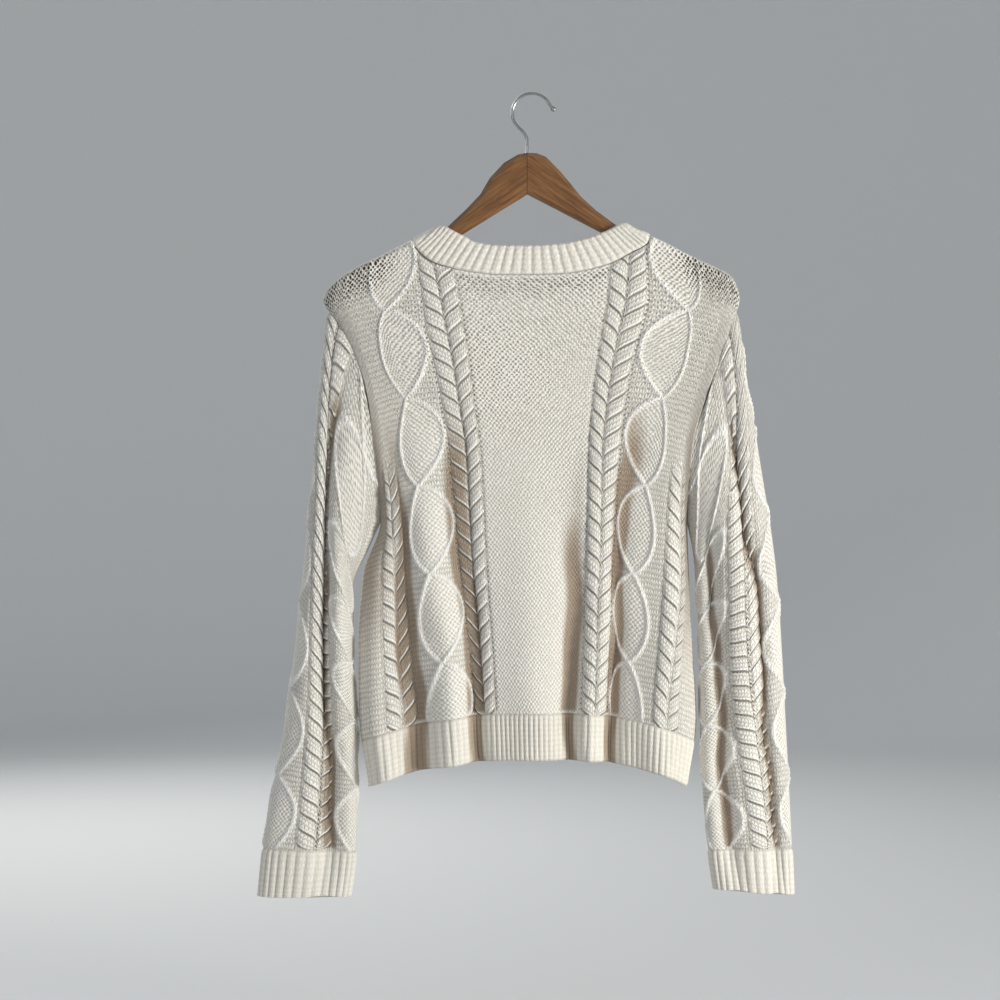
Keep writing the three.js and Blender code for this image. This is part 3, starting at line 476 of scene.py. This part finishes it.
class Cloth:
    """A closed body of cloth: a fine outer sheet over a plain inner one, with rims between them."""

    COARSE = 4

    def __init__(self, base, normal, relief, coords, closed, flip, marks):
        outer = base + normal * (WALL + relief)[..., None]
        inner = base[:: self.COARSE, :: self.COARSE]
        self.points = np.concatenate([outer.reshape(-1, 3), inner.reshape(-1, 3)])
        self.outer = np.arange(outer[..., 0].size).reshape(outer.shape[:2])
        self.inner = np.arange(inner[..., 0].size).reshape(inner.shape[:2]) + self.outer.size
        self.closed, self.flip = closed, flip
        self.faces, self.corners = [], []
        own = coords[: len(base)]
        self.flat = np.concatenate([own.reshape(-1, 2), own[:: self.COARSE, :: self.COARSE].reshape(-1, 2)])
        self.marks = {
            name: np.concatenate([value.ravel(), np.full(self.inner.size, plain)])
            for name, (value, plain) in marks.items()
        }
        self._sheet(self.outer, coords, flip)
        self._sheet(self.inner, coords[:: self.COARSE, :: self.COARSE], not flip)
        self._rims()

    def _sheet(self, ids, coords, flip):
        """Quads over a grid of points, with their cloth coordinates."""
        if self.closed:
            ids = np.concatenate([ids, ids[:1]])
        a, b, c, d = ids[:-1, :-1], ids[1:, :-1], ids[1:, 1:], ids[:-1, 1:]
        ua, ub, uc, ud = coords[:-1, :-1], coords[1:, :-1], coords[1:, 1:], coords[:-1, 1:]
        quads = np.stack([a, b, c, d], -1).reshape(-1, 4)
        uv = np.stack([ua, ub, uc, ud], -2).reshape(-1, 4, 2)
        if flip:
            quads, uv = quads[:, ::-1], uv[:, ::-1]
        self.faces.extend(quads.tolist())
        self.corners.append(uv.reshape(-1, 2))

    def _strip(self, fine, coarse, flip):
        """Triangles between a fine border and the coarse one inside it."""
        step = self.COARSE
        triangles = []
        for k in range(len(coarse) - 1):
            middle = k * step + step // 2
            for i in range(k * step, middle):
                triangles.append((fine[i], fine[i + 1], coarse[k]))
            triangles.append((fine[middle], coarse[k + 1], coarse[k]))
            for i in range(middle, (k + 1) * step):
                triangles.append((fine[i], fine[i + 1], coarse[k + 1]))
        table = np.array(triangles)
        if flip:
            table = table[:, ::-1]
        self.faces.extend(table.tolist())
        self.corners.append(self.flat[table.ravel()])

    def _rims(self):
        """The borders, where the two sheets meet."""
        wrap = (lambda line: np.append(line, line[0])) if self.closed else (lambda line: line)
        self._strip(wrap(self.outer[:, 0]), wrap(self.inner[:, 0]), not self.flip)
        self._strip(wrap(self.outer[:, -1]), wrap(self.inner[:, -1]), self.flip)
        if not self.closed:
            self._strip(self.outer[0], self.inner[0], self.flip)
            self._strip(self.outer[-1], self.inner[-1], not self.flip)

    def make(self, name, material):
        """The object, with its cloth coordinates and its marks."""
        piece = new_object(name, self.points * MM, self.faces, material)
        mesh = piece.data
        layer = mesh.uv_layers.new(name="Cloth")
        layer.uv.foreach_set("vector", np.concatenate(self.corners).astype(np.float32).ravel())
        for key, values in self.marks.items():
            mark = mesh.attributes.new(key, "FLOAT", "POINT")
            mark.data.foreach_set("value", values.astype(np.float32))
        mesh.update()
        return piece


def srgb(code):
    """A hex colour as linear red, green, blue and alpha."""
    values = [int(code[k : k + 2], 16) / 255 for k in (1, 3, 5)]
    return [v / 12.92 if v <= 0.04045 else ((v + 0.055) / 1.055) ** 2.4 for v in values] + [1.0]


def add(tree, kind, inputs=None, output=0, **settings):
    """Adds a node with its settings, links or sets its inputs, and gives one of its outputs."""
    node = tree.nodes.new("ShaderNode" + kind)
    for key, value in settings.items():
        setattr(node, key, value)
    for key, value in (inputs or {}).items():
        if isinstance(value, bpy.types.NodeSocket):
            tree.links.new(value, node.inputs[key])
        else:
            node.inputs[key].default_value = value
    return node.outputs[output]


def new_material(name):
    """A material, its node tree and its shader."""
    material = bpy.data.materials.new(name)
    material.use_nodes = True
    tree = material.node_tree
    return material, tree, tree.nodes["Principled BSDF"]


def knitted_yarn(name, relief, tones):
    """Soft-spun wool yarn, knitted: matt, with loose fibre on it and warm shade down in the folds.
    relief is how strongly single stitches show, tones are the two shades of the yarn."""
    material, tree, shader = new_material(name)
    cloth = add(tree, "UVMap", uv_map="Cloth")
    wander = add(tree, "TexNoise", {"Vector": cloth, "Scale": 0.13, "Detail": 1.0}, "Color")
    cloth = add(tree, "VectorMath", {0: wander, 1: (4.0, 4.0, 0.0), 2: cloth}, operation="MULTIPLY_ADD")
    u = add(tree, "SeparateXYZ", {"Vector": cloth}, "X")
    v = add(tree, "SeparateXYZ", {"Vector": cloth}, "Y")
    moss, rope, lobe, line, thin, fold, cavity_shade = (
        add(tree, "Attribute", output="Fac", attribute_name=mark)
        for mark in ("moss", "rope", "lobe", "line", "open", "fold", "cavity_shade")
    )
    soft = {"interpolation_type": "SMOOTHSTEP"}

    # Knit stitches: V shapes one stitch wide and one row high.
    across = add(tree, "Math", {0: u, 1: 1 / STITCH["width"]}, operation="MULTIPLY")
    across = add(tree, "Math", {0: across, 1: 0.5}, operation="PINGPONG")
    row = add(tree, "Math", {0: v, 1: 1 / STITCH["row"]}, operation="MULTIPLY")
    leg = add(tree, "Math", {0: across, 1: -1.7, 2: row}, operation="MULTIPLY_ADD")
    leg = add(tree, "Math", {0: leg, 1: 1.0}, operation="PINGPONG")
    side = add(tree, "MapRange", {"Value": across, "From Max": 0.2}, **soft)
    plain = add(tree, "Math", {0: leg, 1: side}, operation="MULTIPLY")

    # Moss stitch: a checker of small bumps, with a dot of painted shade between every two.
    wave_u = add(tree, "Math", {0: u, 1: math.pi / STITCH["width"]}, operation="MULTIPLY")
    wave_u = add(tree, "Math", {0: wave_u}, operation="SINE")
    wave_v = add(tree, "Math", {0: v, 1: math.pi / STITCH["row"]}, operation="MULTIPLY")
    wave_v = add(tree, "Math", {0: wave_v}, operation="SINE")
    checker = add(tree, "Math", {0: wave_u, 1: wave_v}, operation="MULTIPLY")
    bumps = add(tree, "Math", {0: checker, 1: 0.5, 2: 0.5}, operation="MULTIPLY_ADD")
    stitch = add(tree, "Mix", {0: moss, 2: plain, 3: bumps})

    # Loose fibre and uneven yarn: a fine and a broad noise.
    spot = add(tree, "TexCoord", output="Object")
    fibre = add(tree, "TexNoise", {"Vector": spot, "Scale": 900.0, "Detail": 1.0})
    patch = add(tree, "TexNoise", {"Vector": spot, "Scale": 14.0, "Detail": 2.0})
    speck = add(tree, "TexNoise", {"Vector": spot, "Scale": 240.0, "Detail": 0.0})

    # Open places: small holes between the stitches, uneven in size, painted dark as the shade seen through
    # them.
    pore_u = add(tree, "Math", {0: u, 1: math.pi / PORE}, operation="MULTIPLY")
    rising = add(tree, "Math", {0: v, 1: math.pi / PORE, 2: pore_u}, operation="MULTIPLY_ADD")
    rising = add(tree, "Math", {0: rising}, operation="SINE")
    sinking = add(tree, "Math", {0: v, 1: -math.pi / PORE, 2: pore_u}, operation="MULTIPLY_ADD")
    sinking = add(tree, "Math", {0: sinking}, operation="SINE")
    net = add(tree, "Math", {0: rising, 1: sinking}, operation="MULTIPLY")
    net = add(tree, "Math", {0: net}, operation="ABSOLUTE")
    net = add(tree, "Math", {0: speck, 1: 0.9, 2: net}, operation="MULTIPLY_ADD")
    edge = add(tree, "Math", {0: thin, 1: -0.45, 2: 1.25}, operation="MULTIPLY_ADD")
    full = add(tree, "Math", {0: edge, 1: 0.3}, operation="ADD")
    hole = add(tree, "MapRange", {"Value": net, "From Min": edge, "From Max": full}, **soft)
    hole = add(tree, "Math", {0: hole, 1: thin}, operation="MULTIPLY")

    # Ropes: a gap between every two lobes, with painted shade in it, and a thin line along the lobe above it
    # with a painted highlight.
    rest = add(tree, "Math", {0: lobe, 1: 0.5}, operation="PINGPONG")
    gap = add(tree, "MapRange", {"Value": rest, "From Min": 0.1, "From Max": 0.02}, **soft)
    gap = add(tree, "Math", {0: gap, 1: rope}, operation="MULTIPLY")
    rim = add(tree, "Math", {0: lobe, 1: 0.34}, operation="ADD")
    rim = add(tree, "Math", {0: rim, 1: 0.5}, operation="PINGPONG")
    rim = add(tree, "MapRange", {"Value": rim, "From Min": 0.39, "From Max": 0.47}, **soft)
    rim = add(tree, "Math", {0: rim, 1: rope}, operation="MULTIPLY")

    # Colour, one layer over the other: how much of it shows, and its shade. All six layers are painted light:
    # painted shade between the stitches, down between the raised stitches, in the folds, in the gaps between
    # the rope lobes and in the holes of the open knit, and a painted highlight on lattice crests and lobe
    # rims.
    between = add(tree, "Math", {0: 1.0, 1: stitch}, operation="SUBTRACT")
    between = add(tree, "Math", {0: between, 1: 1.6}, operation="POWER")
    # Painted highlight on the crests of the lattice lines and on the rims of the rope lobes.
    bright = add(tree, "Math", {0: line, 1: 0.9, 2: rim}, operation="MULTIPLY_ADD")
    colour = add(tree, "Mix", {"Factor": patch, 6: srgb(tones[0]), 7: srgb(tones[1])}, 2, data_type="RGBA")
    for share, strength, shade in (
        (between, 0.62 * relief, "#8f8778"), (cavity_shade, 0.22, "#a39b8c"), (fold, 0.75, "#84694a"),
        (gap, 0.7, "#6f6555"), (bright, 0.8, "#fdfbf5"), (hole, 1.0, "#3d372e"),
    ):
        share = add(tree, "Math", {0: share, 1: strength}, operation="MULTIPLY", use_clamp=True)
        colour = add(tree, "Mix", {"Factor": share, 6: colour, 7: srgb(shade)}, 2, data_type="RGBA")
    tree.links.new(colour, shader.inputs["Base Color"])

    height = add(tree, "Math", {0: stitch, 1: relief}, operation="MULTIPLY")
    for part, rise in ((fibre, 0.35), (line, 1.2), (rim, 1.3), (gap, -1.8), (hole, -1.6)):
        height = add(tree, "Math", {0: part, 1: rise, 2: height}, operation="MULTIPLY_ADD")
    bump = add(tree, "Bump", {"Strength": 0.85, "Distance": 0.0009, "Height": height})
    tree.links.new(bump, shader.inputs["Normal"])
    shader.inputs["Roughness"].default_value = 0.94
    shader.inputs["Specular IOR Level"].default_value = 0.2
    shader.inputs["Sheen Weight"].default_value = 0.2
    shader.inputs["Sheen Roughness"].default_value = 0.5
    return material


def varnished_wood():
    """Stained beech under clear varnish: grain along each arm, a mitre at the middle, a gloss coat."""
    material, tree, shader = new_material("Stained varnished beech")
    spot = add(tree, "TexCoord", output="Object")
    x = add(tree, "SeparateXYZ", {"Vector": spot}, "X")
    right = add(tree, "Math", {0: x, 1: MITRE_X * MM}, operation="GREATER_THAN")
    tilt = math.radians(ARM_ANGLE)
    left_arm = add(tree, "Mapping", {"Vector": spot, "Rotation": (0, -tilt, 0)}, vector_type="TEXTURE")
    right_arm = add(tree, "Mapping", {"Vector": spot, "Rotation": (0, tilt, 0)}, vector_type="TEXTURE")
    along = add(tree, "Mix", {0: right, 4: left_arm, 5: right_arm}, 1, data_type="VECTOR")
    stretched = add(tree, "Mapping", {"Vector": along, "Scale": (1.0, 14.0, 14.0)})
    look = {"Scale": 22.0, "Detail": 6.0, "Roughness": 0.62, "Distortion": 0.6}
    grain = add(tree, "TexNoise", {"Vector": stretched, **look})
    fine = add(tree, "Mapping", {"Vector": along, "Scale": (6.0, 120.0, 120.0)})
    pores = add(tree, "TexNoise", {"Vector": fine, "Scale": 16.0, "Detail": 2.0})
    figure = add(tree, "MapRange", {"Value": grain, "From Min": 0.32, "From Max": 0.7})
    colour = add(tree, "Mix", {"Factor": figure, 6: srgb("#553315"), 7: srgb("#8f6232")}, 2, data_type="RGBA")
    fleck = add(tree, "MapRange", {"Value": pores, "From Min": 0.42, "From Max": 0.36, "To Max": 0.4})
    colour = add(tree, "Mix", {"Factor": fleck, 6: colour, 7: srgb("#3a1f0c")}, 2, data_type="RGBA")
    off = add(tree, "Math", {0: x, 1: MITRE_X * MM, 2: 0.0005}, operation="COMPARE")
    joint = add(tree, "Math", {0: off, 1: 0.7}, operation="MULTIPLY")
    colour = add(tree, "Mix", {"Factor": joint, 6: colour, 7: srgb("#2a1608")}, 2, data_type="RGBA")
    tree.links.new(colour, shader.inputs["Base Color"])
    bump = add(tree, "Bump", {"Strength": 0.15, "Distance": 0.0003, "Height": grain})
    tree.links.new(bump, shader.inputs["Normal"])
    shader.inputs["Roughness"].default_value = 0.36
    shader.inputs["Coat Weight"].default_value = 0.6
    shader.inputs["Coat Roughness"].default_value = 0.12
    return material


def plated_wire():
    """Nickel-plated steel wire, drawn and polished: bright, with faint drawing marks along it."""
    material, tree, shader = new_material("Nickel-plated wire")
    spot = add(tree, "TexCoord", output="Object")
    marks = add(tree, "TexNoise", {"Vector": spot, "Scale": 260.0, "Detail": 4.0})
    rough = add(tree, "Math", {0: marks, 1: 0.16, 2: 0.14}, operation="MULTIPLY_ADD")
    tree.links.new(rough, shader.inputs["Roughness"])
    colour = add(tree, "Mix", {"Factor": marks, 6: srgb("#8d8f90"), 7: srgb("#c2c3c2")}, 2, data_type="RGBA")
    tree.links.new(colour, shader.inputs["Base Color"])
    shader.inputs["Metallic"].default_value = 1.0
    return material


yarn = knitted_yarn("Wool yarn, cable knit", 1.0, ("#f1ede3", "#faf7f0"))
# The ribbed bands are the same yarn with both tones darker, as painted shade: their low relief paints little
# shade between their stitches.
rib_yarn = knitted_yarn("Wool yarn, ribbed", 0.35, ("#e3ded2", "#ede9df"))
beech = varnished_wood()
wire = plated_wire()


def finish_piece(piece, node):
    """Gives a piece its body and hides the solid that it dresses."""
    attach(piece, "root")
    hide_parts(node)
    return piece


def deep_mark(relief, full):
    """How far a place lies down between the raised stitches, where the yarn paints shade: 1 at the ground, 0
    on the crests.
    """
    return np.clip(1 - relief / full, 0, 1) ** 1.5


def fold_mark(base, normal, closed, reach):
    """How far a place lies down in a fold, where the yarn paints shade: 0 on flat cloth and crests, 1 well
    below its sides.
    """
    if closed:
        sides = (np.roll(base, reach, 0) + np.roll(base, -reach, 0)) / 2
    else:
        padded = np.concatenate([base[:1]] * reach + [base] + [base[-1:]] * reach)
        sides = (padded[2 * reach :] + padded[: -2 * reach]) / 2
    return smooth(0.2, 3.2, ((sides - base) * normal).sum(-1))


def open_places(u, z, below_top, below_shoulder):
    """How open the knit of a body panel is: most at the shoulder tips and in the ladders."""
    from_pair = np.abs(np.abs(u) - PAIRS["inner"])
    tips = falling(*OPEN["tip"], below_shoulder) * smooth(*OPEN["tip_from"], np.abs(u))
    yoke = falling(*OPEN["yoke"], below_top) * falling(*OPEN["yoke_to"], np.abs(u)) * OPEN["yoke_share"]
    plain = OPEN["least"] + OPEN["upper_share"] * smooth(*OPEN["upper"], z)
    beside = bell(from_pair - OPEN["beside"], OPEN["beside_width"]) * OPEN["beside_share"]
    ladder = bell(from_pair, OPEN["ladder"])
    share = np.maximum(np.maximum(tips, yoke), np.maximum(plain, beside))
    on_rope = (from_pair < OPEN["rope"]) & (ladder < 0.3)
    return np.where(on_rope, 0.0, np.maximum(share, ladder))


def panel(face):
    """A body panel, from the rib seam up to the shoulder and neckline."""
    cells_across, cells_up = CELLS["panel"]
    column = np.linspace(-HALF_CHEST, HALF_CHEST, cells_across + 1)
    low = hem_z(column) + RIB_HEIGHT
    high = top_z(column, face)
    share = np.linspace(0, 1, cells_up + 1)
    z = low[:, None] + (high - low)[:, None] * share
    base = body_point(column[:, None], z, face)
    normal = -face * normals_of(base, False)
    side = np.abs(column) > HALF_CHEST - 0.01
    free = side[:, None] & (armhole_depth(z) < 0.01)
    free |= (shoulder_z(base[..., 0]) - z) < 0.05
    normal[..., 1] = np.where(free, 0, normal[..., 1])
    normal /= np.maximum(np.linalg.norm(normal, axis=-1, keepdims=True), 1e-9)
    u = np.broadcast_to(column[:, None], z.shape)
    v = z - low[:, None]
    outer_strength = falling(*OUTER_PAIR_TOP, v)
    pairs = [-PAIRS["outer"], -PAIRS["inner"], PAIRS["inner"], PAIRS["outer"]]
    strengths = [outer_strength, 1.0, 1.0, outer_strength]
    relief, grain, marks = knit(pairs, [-PAIRS["lattice"], PAIRS["lattice"]], u, v, MOSS_HALF, strengths)
    rim = smooth(0, 5, v) * smooth(0, 5, high[:, None] - z) * smooth(0, 4, HALF_CHEST - np.abs(u))
    relief = relief * rim
    marks["open"] = (open_places(u, z, high[:, None] - z, shoulder_z(base[..., 0]) - z) * rim, 0.0)
    marks["cavity_shade"] = (deep_mark(relief, DEEP["knit"]) * rim, 0.4)
    beside_sleeve = smooth(*BESIDE_SLEEVE["columns"], np.abs(u)) * smooth(*BESIDE_SLEEVE["top"], z)
    beside_sleeve = BESIDE_SLEEVE["share"] * beside_sleeve * smooth(*BESIDE_SLEEVE["bottom"], z)
    fold = np.maximum(fold_mark(base, normal, False, FOLD_REACH["panel"]), beside_sleeve)
    marks["fold"] = (fold * rim, 0.2)
    return Cloth(base, normal, relief, np.stack([u, grain], -1), False, face == FAR, marks)


def hem(face):
    """A ribbed hem band."""
    column = np.linspace(-HALF_CHEST, HALF_CHEST, CELLS["rib"] * HEM_RIBS + 1)
    up = np.linspace(0, RIB_HEIGHT, CELLS["hem"] + 1)
    z = hem_z(column)[:, None] + up
    base = body_point(column[:, None], z, face)
    normal = -face * normals_of(base, False)
    side = np.abs(column) > HALF_CHEST - 0.01
    normal[side, :, 1] = 0
    normal /= np.maximum(np.linalg.norm(normal, axis=-1, keepdims=True), 1e-9)
    u = np.broadcast_to(column[:, None], z.shape)
    v = np.broadcast_to(up, z.shape)
    relief = ribbing(u + HALF_CHEST, 2 * HALF_CHEST / HEM_RIBS)
    rim = smooth(-1, 4, v) * smooth(-1, 5, RIB_HEIGHT - v) * smooth(0, 3, HALF_CHEST - np.abs(u))
    relief = relief * rim
    marks = {"cavity_shade": (deep_mark(relief, DEEP["rib"]), 0.3)}
    marks["fold"] = (fold_mark(base, normal, False, FOLD_REACH["hem"]), 0.2)
    return Cloth(base, normal, relief, np.stack([u, v], -1), False, face == FAR, marks)


def outward_sign(base, normal):
    """1 or -1, so that the normals of a tube point away from its middle."""
    away = base - base.mean(0, keepdims=True)
    return 1 if (away * normal).sum() > 0 else -1


def sleeve_cloth(sleeve):
    """A sleeve from its armhole down to the cuff seam."""
    cells_round, cells_down = CELLS["sleeve"]
    around = np.linspace(-HALF_ROUND, HALF_ROUND, cells_round + 1)
    down = np.linspace(0, SLEEVE_LENGTH, cells_down + 1)
    at = down / SLEEVE_LENGTH
    turn = math.pi * (curve(sleeve["cable"])(at)[None] + around[:-1, None] / HALF_ROUND)
    base = sleeve_point(sleeve, turn, at[None])
    normal = normals_of(base, True)
    sign = outward_sign(base, normal)
    u = np.broadcast_to(around[:-1, None], turn.shape)
    v = np.broadcast_to(-down, turn.shape)
    strength = smooth(0, 8, down)[None] * smooth(0, 6, SLEEVE_LENGTH - down)[None] * np.ones(u.shape)
    lattices = [-SLEEVE_LATTICE, SLEEVE_LATTICE]
    relief, grain, marks = knit([0.0], lattices, u, v, 0, [strength])
    rim = smooth(0, 5, down) * smooth(0, 5, SLEEVE_LENGTH - down)
    relief = relief * rim
    marks["moss"] = (np.maximum(marks["moss"][0], smooth(*SLEEVE_MOSS, np.abs(u))), 0.0)
    seam_share = falling(*SLEEVE_OPEN["seam"], down)[None] * SLEEVE_OPEN["seam_share"]
    open_share = np.maximum(seam_share, SLEEVE_OPEN["least"]) * smooth(*SLEEVE_OPEN["beside"], np.abs(u))
    marks["open"] = (np.maximum(open_share, bell(u, OPEN["ladder"])), 0.0)
    marks["cavity_shade"] = (deep_mark(relief, DEEP["knit"]) * rim, 0.4)
    marks["fold"] = (fold_mark(base, sign * normal, True, FOLD_REACH["sleeve"]) * rim, 0.2)
    coords = np.stack([u, grain], -1)
    last = coords[:1].copy()
    last[..., 0] += 2 * HALF_ROUND
    return Cloth(base, sign * normal, relief, np.concatenate([coords, last]), True, sign < 0, marks)


def cuff_cloth(sleeve):
    """A ribbed cuff, from the sleeve's seam to its end."""
    turn = np.linspace(0, 2 * math.pi, CELLS["rib"] * CUFF_RIBS + 1)
    at = np.linspace(1.0, CUFF_END, CELLS["cuff"] + 1)
    base = sleeve_point(sleeve, turn[:-1, None], at[None])
    normal = normals_of(base, True)
    sign = outward_sign(base, normal)
    u = np.broadcast_to(turn[:, None] * HALF_ROUND / math.pi, (len(turn), len(at)))
    v = np.broadcast_to((1.0 - at) * SLEEVE_LENGTH, u.shape)
    relief = ribbing(u[:-1], 2 * HALF_ROUND / CUFF_RIBS)
    rim = smooth(-1, 5, -v[:-1]) * smooth(-1, 4, (at[-1] - at[0]) * SLEEVE_LENGTH + v[:-1])
    relief = relief * rim
    marks = {"cavity_shade": (deep_mark(relief, DEEP["rib"]), 0.3)}
    return Cloth(base, sign * normal, relief, np.stack([u, v], -1), True, sign < 0, marks)


def neckband_cloth():
    """The ribbed band round the neck."""
    turn = np.linspace(0, 2 * math.pi, CELLS["rib"] * NECK_RIBS + 1)
    up = np.linspace(0, 1, CELLS["neckband"] + 1)
    base = neck_point(turn[:-1, None], up[None])
    normal = normals_of(base, True)
    sign = outward_sign(base, normal)
    u = np.broadcast_to(turn[:, None] * HALF_ROUND / math.pi, (len(turn), len(up)))
    v = np.broadcast_to(up * NECK_HEIGHT, u.shape)
    relief = ribbing(u[:-1], 2 * HALF_ROUND / NECK_RIBS)
    relief = relief * smooth(-0.05, 0.12, up) * smooth(-0.05, 0.12, 1 - up)
    marks = {"cavity_shade": (deep_mark(relief, DEEP["rib"]), 0.3)}
    return Cloth(base, sign * normal, relief, np.stack([u, v], -1), True, sign < 0, marks)


def hook_wire():
    """The bent wire of the hook: a small ball at its tip, a loop, an S bend and a shank."""
    loop_x, loop_z, radius = HOOK["loop"]
    turns = np.radians(np.arange(*HOOK["turn"]))
    arc = np.stack([loop_x + radius * np.cos(turns), loop_z + radius * np.sin(turns)], -1)
    route = np.concatenate([HOOK["tip"], arc, HOOK["shank"]])
    steps = np.append(0, np.cumsum(np.linalg.norm(np.diff(route, axis=0), axis=1)))
    s = np.linspace(0, steps[-1], HOOK["steps"])
    x, z = curve(list(zip(steps, route[:, 0])))(s), curve(list(zip(steps, route[:, 1])))(s)
    middle = np.stack([x, np.zeros_like(x), z], -1)
    direction = np.gradient(middle, axis=0)
    direction /= np.linalg.norm(direction, axis=1, keepdims=True)
    side = np.array([0.0, 1.0, 0.0])
    across = np.cross(direction, side)
    ball = np.sqrt(np.clip(BALL_RADIUS**2 - (s - BALL_RADIUS) ** 2, 0, None))
    end = np.sqrt(np.clip(WIRE_RADIUS**2 - np.clip(WIRE_RADIUS - (s[-1] - s), 0, None) ** 2, 0.01, None))
    thickness = np.where(s < BALL_RADIUS, ball, np.maximum(ball, np.minimum(WIRE_RADIUS, end)))
    thickness[0] = 0.05
    angle = np.linspace(0, 2 * math.pi, HOOK["sides"], endpoint=False)
    ring = np.cos(angle)[:, None, None] * across + np.sin(angle)[:, None, None] * side
    points = (middle + ring * thickness[:, None]).transpose(1, 0, 2)
    ids = np.arange(points[..., 0].size).reshape(points.shape[:2])
    loops = np.concatenate([ids, ids[:, :1]], 1)
    quads = np.stack([loops[:-1, :-1], loops[:-1, 1:], loops[1:, 1:], loops[1:, :-1]], -1).reshape(-1, 4)
    faces = quads.tolist() + [ids[0][::-1].tolist(), ids[-1].tolist()]
    return new_object("hook_wire", points.reshape(-1, 3) * MM, faces, wire)


for side_name, face in (("back", NEAR), ("front", FAR)):
    piece = panel(face).make(f"knit_{side_name}", yarn)
    finish_piece(piece, f"{side_name}_panel")
    piece = hem(face).make(f"knit_hem_{side_name}", rib_yarn)
    finish_piece(piece, f"hem_rib_{side_name}")
for side_name, sleeve in SLEEVES.items():
    piece = sleeve_cloth(sleeve).make(f"knit_sleeve_{side_name}", yarn)
    finish_piece(piece, f"sleeve_{side_name}")
    piece = cuff_cloth(sleeve).make(f"knit_cuff_{side_name}", rib_yarn)
    finish_piece(piece, f"cuff_{side_name}")
finish_piece(neckband_cloth().make("knit_neckband", rib_yarn), "neckband")
finish_piece(hook_wire(), "hanger_hook")

wood_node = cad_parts["hanger_wood"]
wood_node.data.materials.clear()
wood_node.data.materials.append(beech)


def painted_floor():
    """Pale grey floor paint, matt."""
    material, _, shader = new_material("Pale painted floor")
    shader.inputs["Base Color"].default_value = srgb("#cfd1d2")
    shader.inputs["Roughness"].default_value = 0.9
    return material


def studio():
    """A pale floor that sweeps up to a round wall, a pale surround and soft lights from three sides."""
    scene = bpy.context.scene
    turns = np.linspace(0, 2 * math.pi, SWEEP["sides"], endpoint=False)
    bend = np.linspace(0, math.pi / 2, SWEEP["steps"])
    wall = SWEEP["floor"] + SWEEP["bend"]
    radius = np.concatenate([[SWEEP["middle"]], SWEEP["floor"] + SWEEP["bend"] * np.sin(bend), [wall]])
    height = np.concatenate([[0], SWEEP["bend"] * (1 - np.cos(bend)), [SWEEP["top"]]]) + FLOOR_Z
    points = [(r * math.cos(t), r * math.sin(t), z) for r, z in zip(radius, height) for t in turns]
    count = len(turns)
    faces = [
        (k * count + i, k * count + (i + 1) % count, (k + 1) * count + (i + 1) % count, (k + 1) * count + i)
        for k in range(len(radius) - 1) for i in range(count)
    ]
    faces.append(tuple(range(count))[::-1])
    floor = new_object("floor", points, faces, painted_floor())

    world = bpy.data.worlds.new("Pale surround")
    world.use_nodes = True
    background = world.node_tree.nodes["Background"]
    background.inputs["Color"].default_value = srgb(SURROUND["colour"])
    background.inputs["Strength"].default_value = SURROUND["strength"]
    scene.world = world
    scene.view_settings.view_transform = "Standard"

    for name, place, size, power, code in LIGHTS:
        data = bpy.data.lights.new(name, "AREA")
        data.shape = "DISK"
        data.size = size
        data.energy = power
        data.color = srgb(code)[:3]
        light = bpy.data.objects.new(name, data)
        light.location = place
        aim = LIGHTS_AIM - np.array(place)
        tilt = math.acos(-aim[2] / np.linalg.norm(aim))
        light.rotation_euler = (tilt, 0.0, math.atan2(aim[1], aim[0]) - math.pi / 2)
        scene.collection.objects.link(light)


def camera():
    """Straight on, level with the middle of the garment, as far off as gives a frame 1.06 m wide."""
    data = bpy.data.cameras.new("camera")
    data.sensor_width = SENSOR
    data.lens = SENSOR * CAMERA_AWAY / FRAME_WIDTH
    eye = bpy.data.objects.new("camera", data)
    eye.location = (FRAME_MIDDLE[0], -CAMERA_AWAY, FRAME_MIDDLE[1])
    eye.rotation_euler = (math.pi / 2, 0.0, 0.0)
    bpy.context.scene.collection.objects.link(eye)
    bpy.context.scene.camera = eye


studio()
camera()
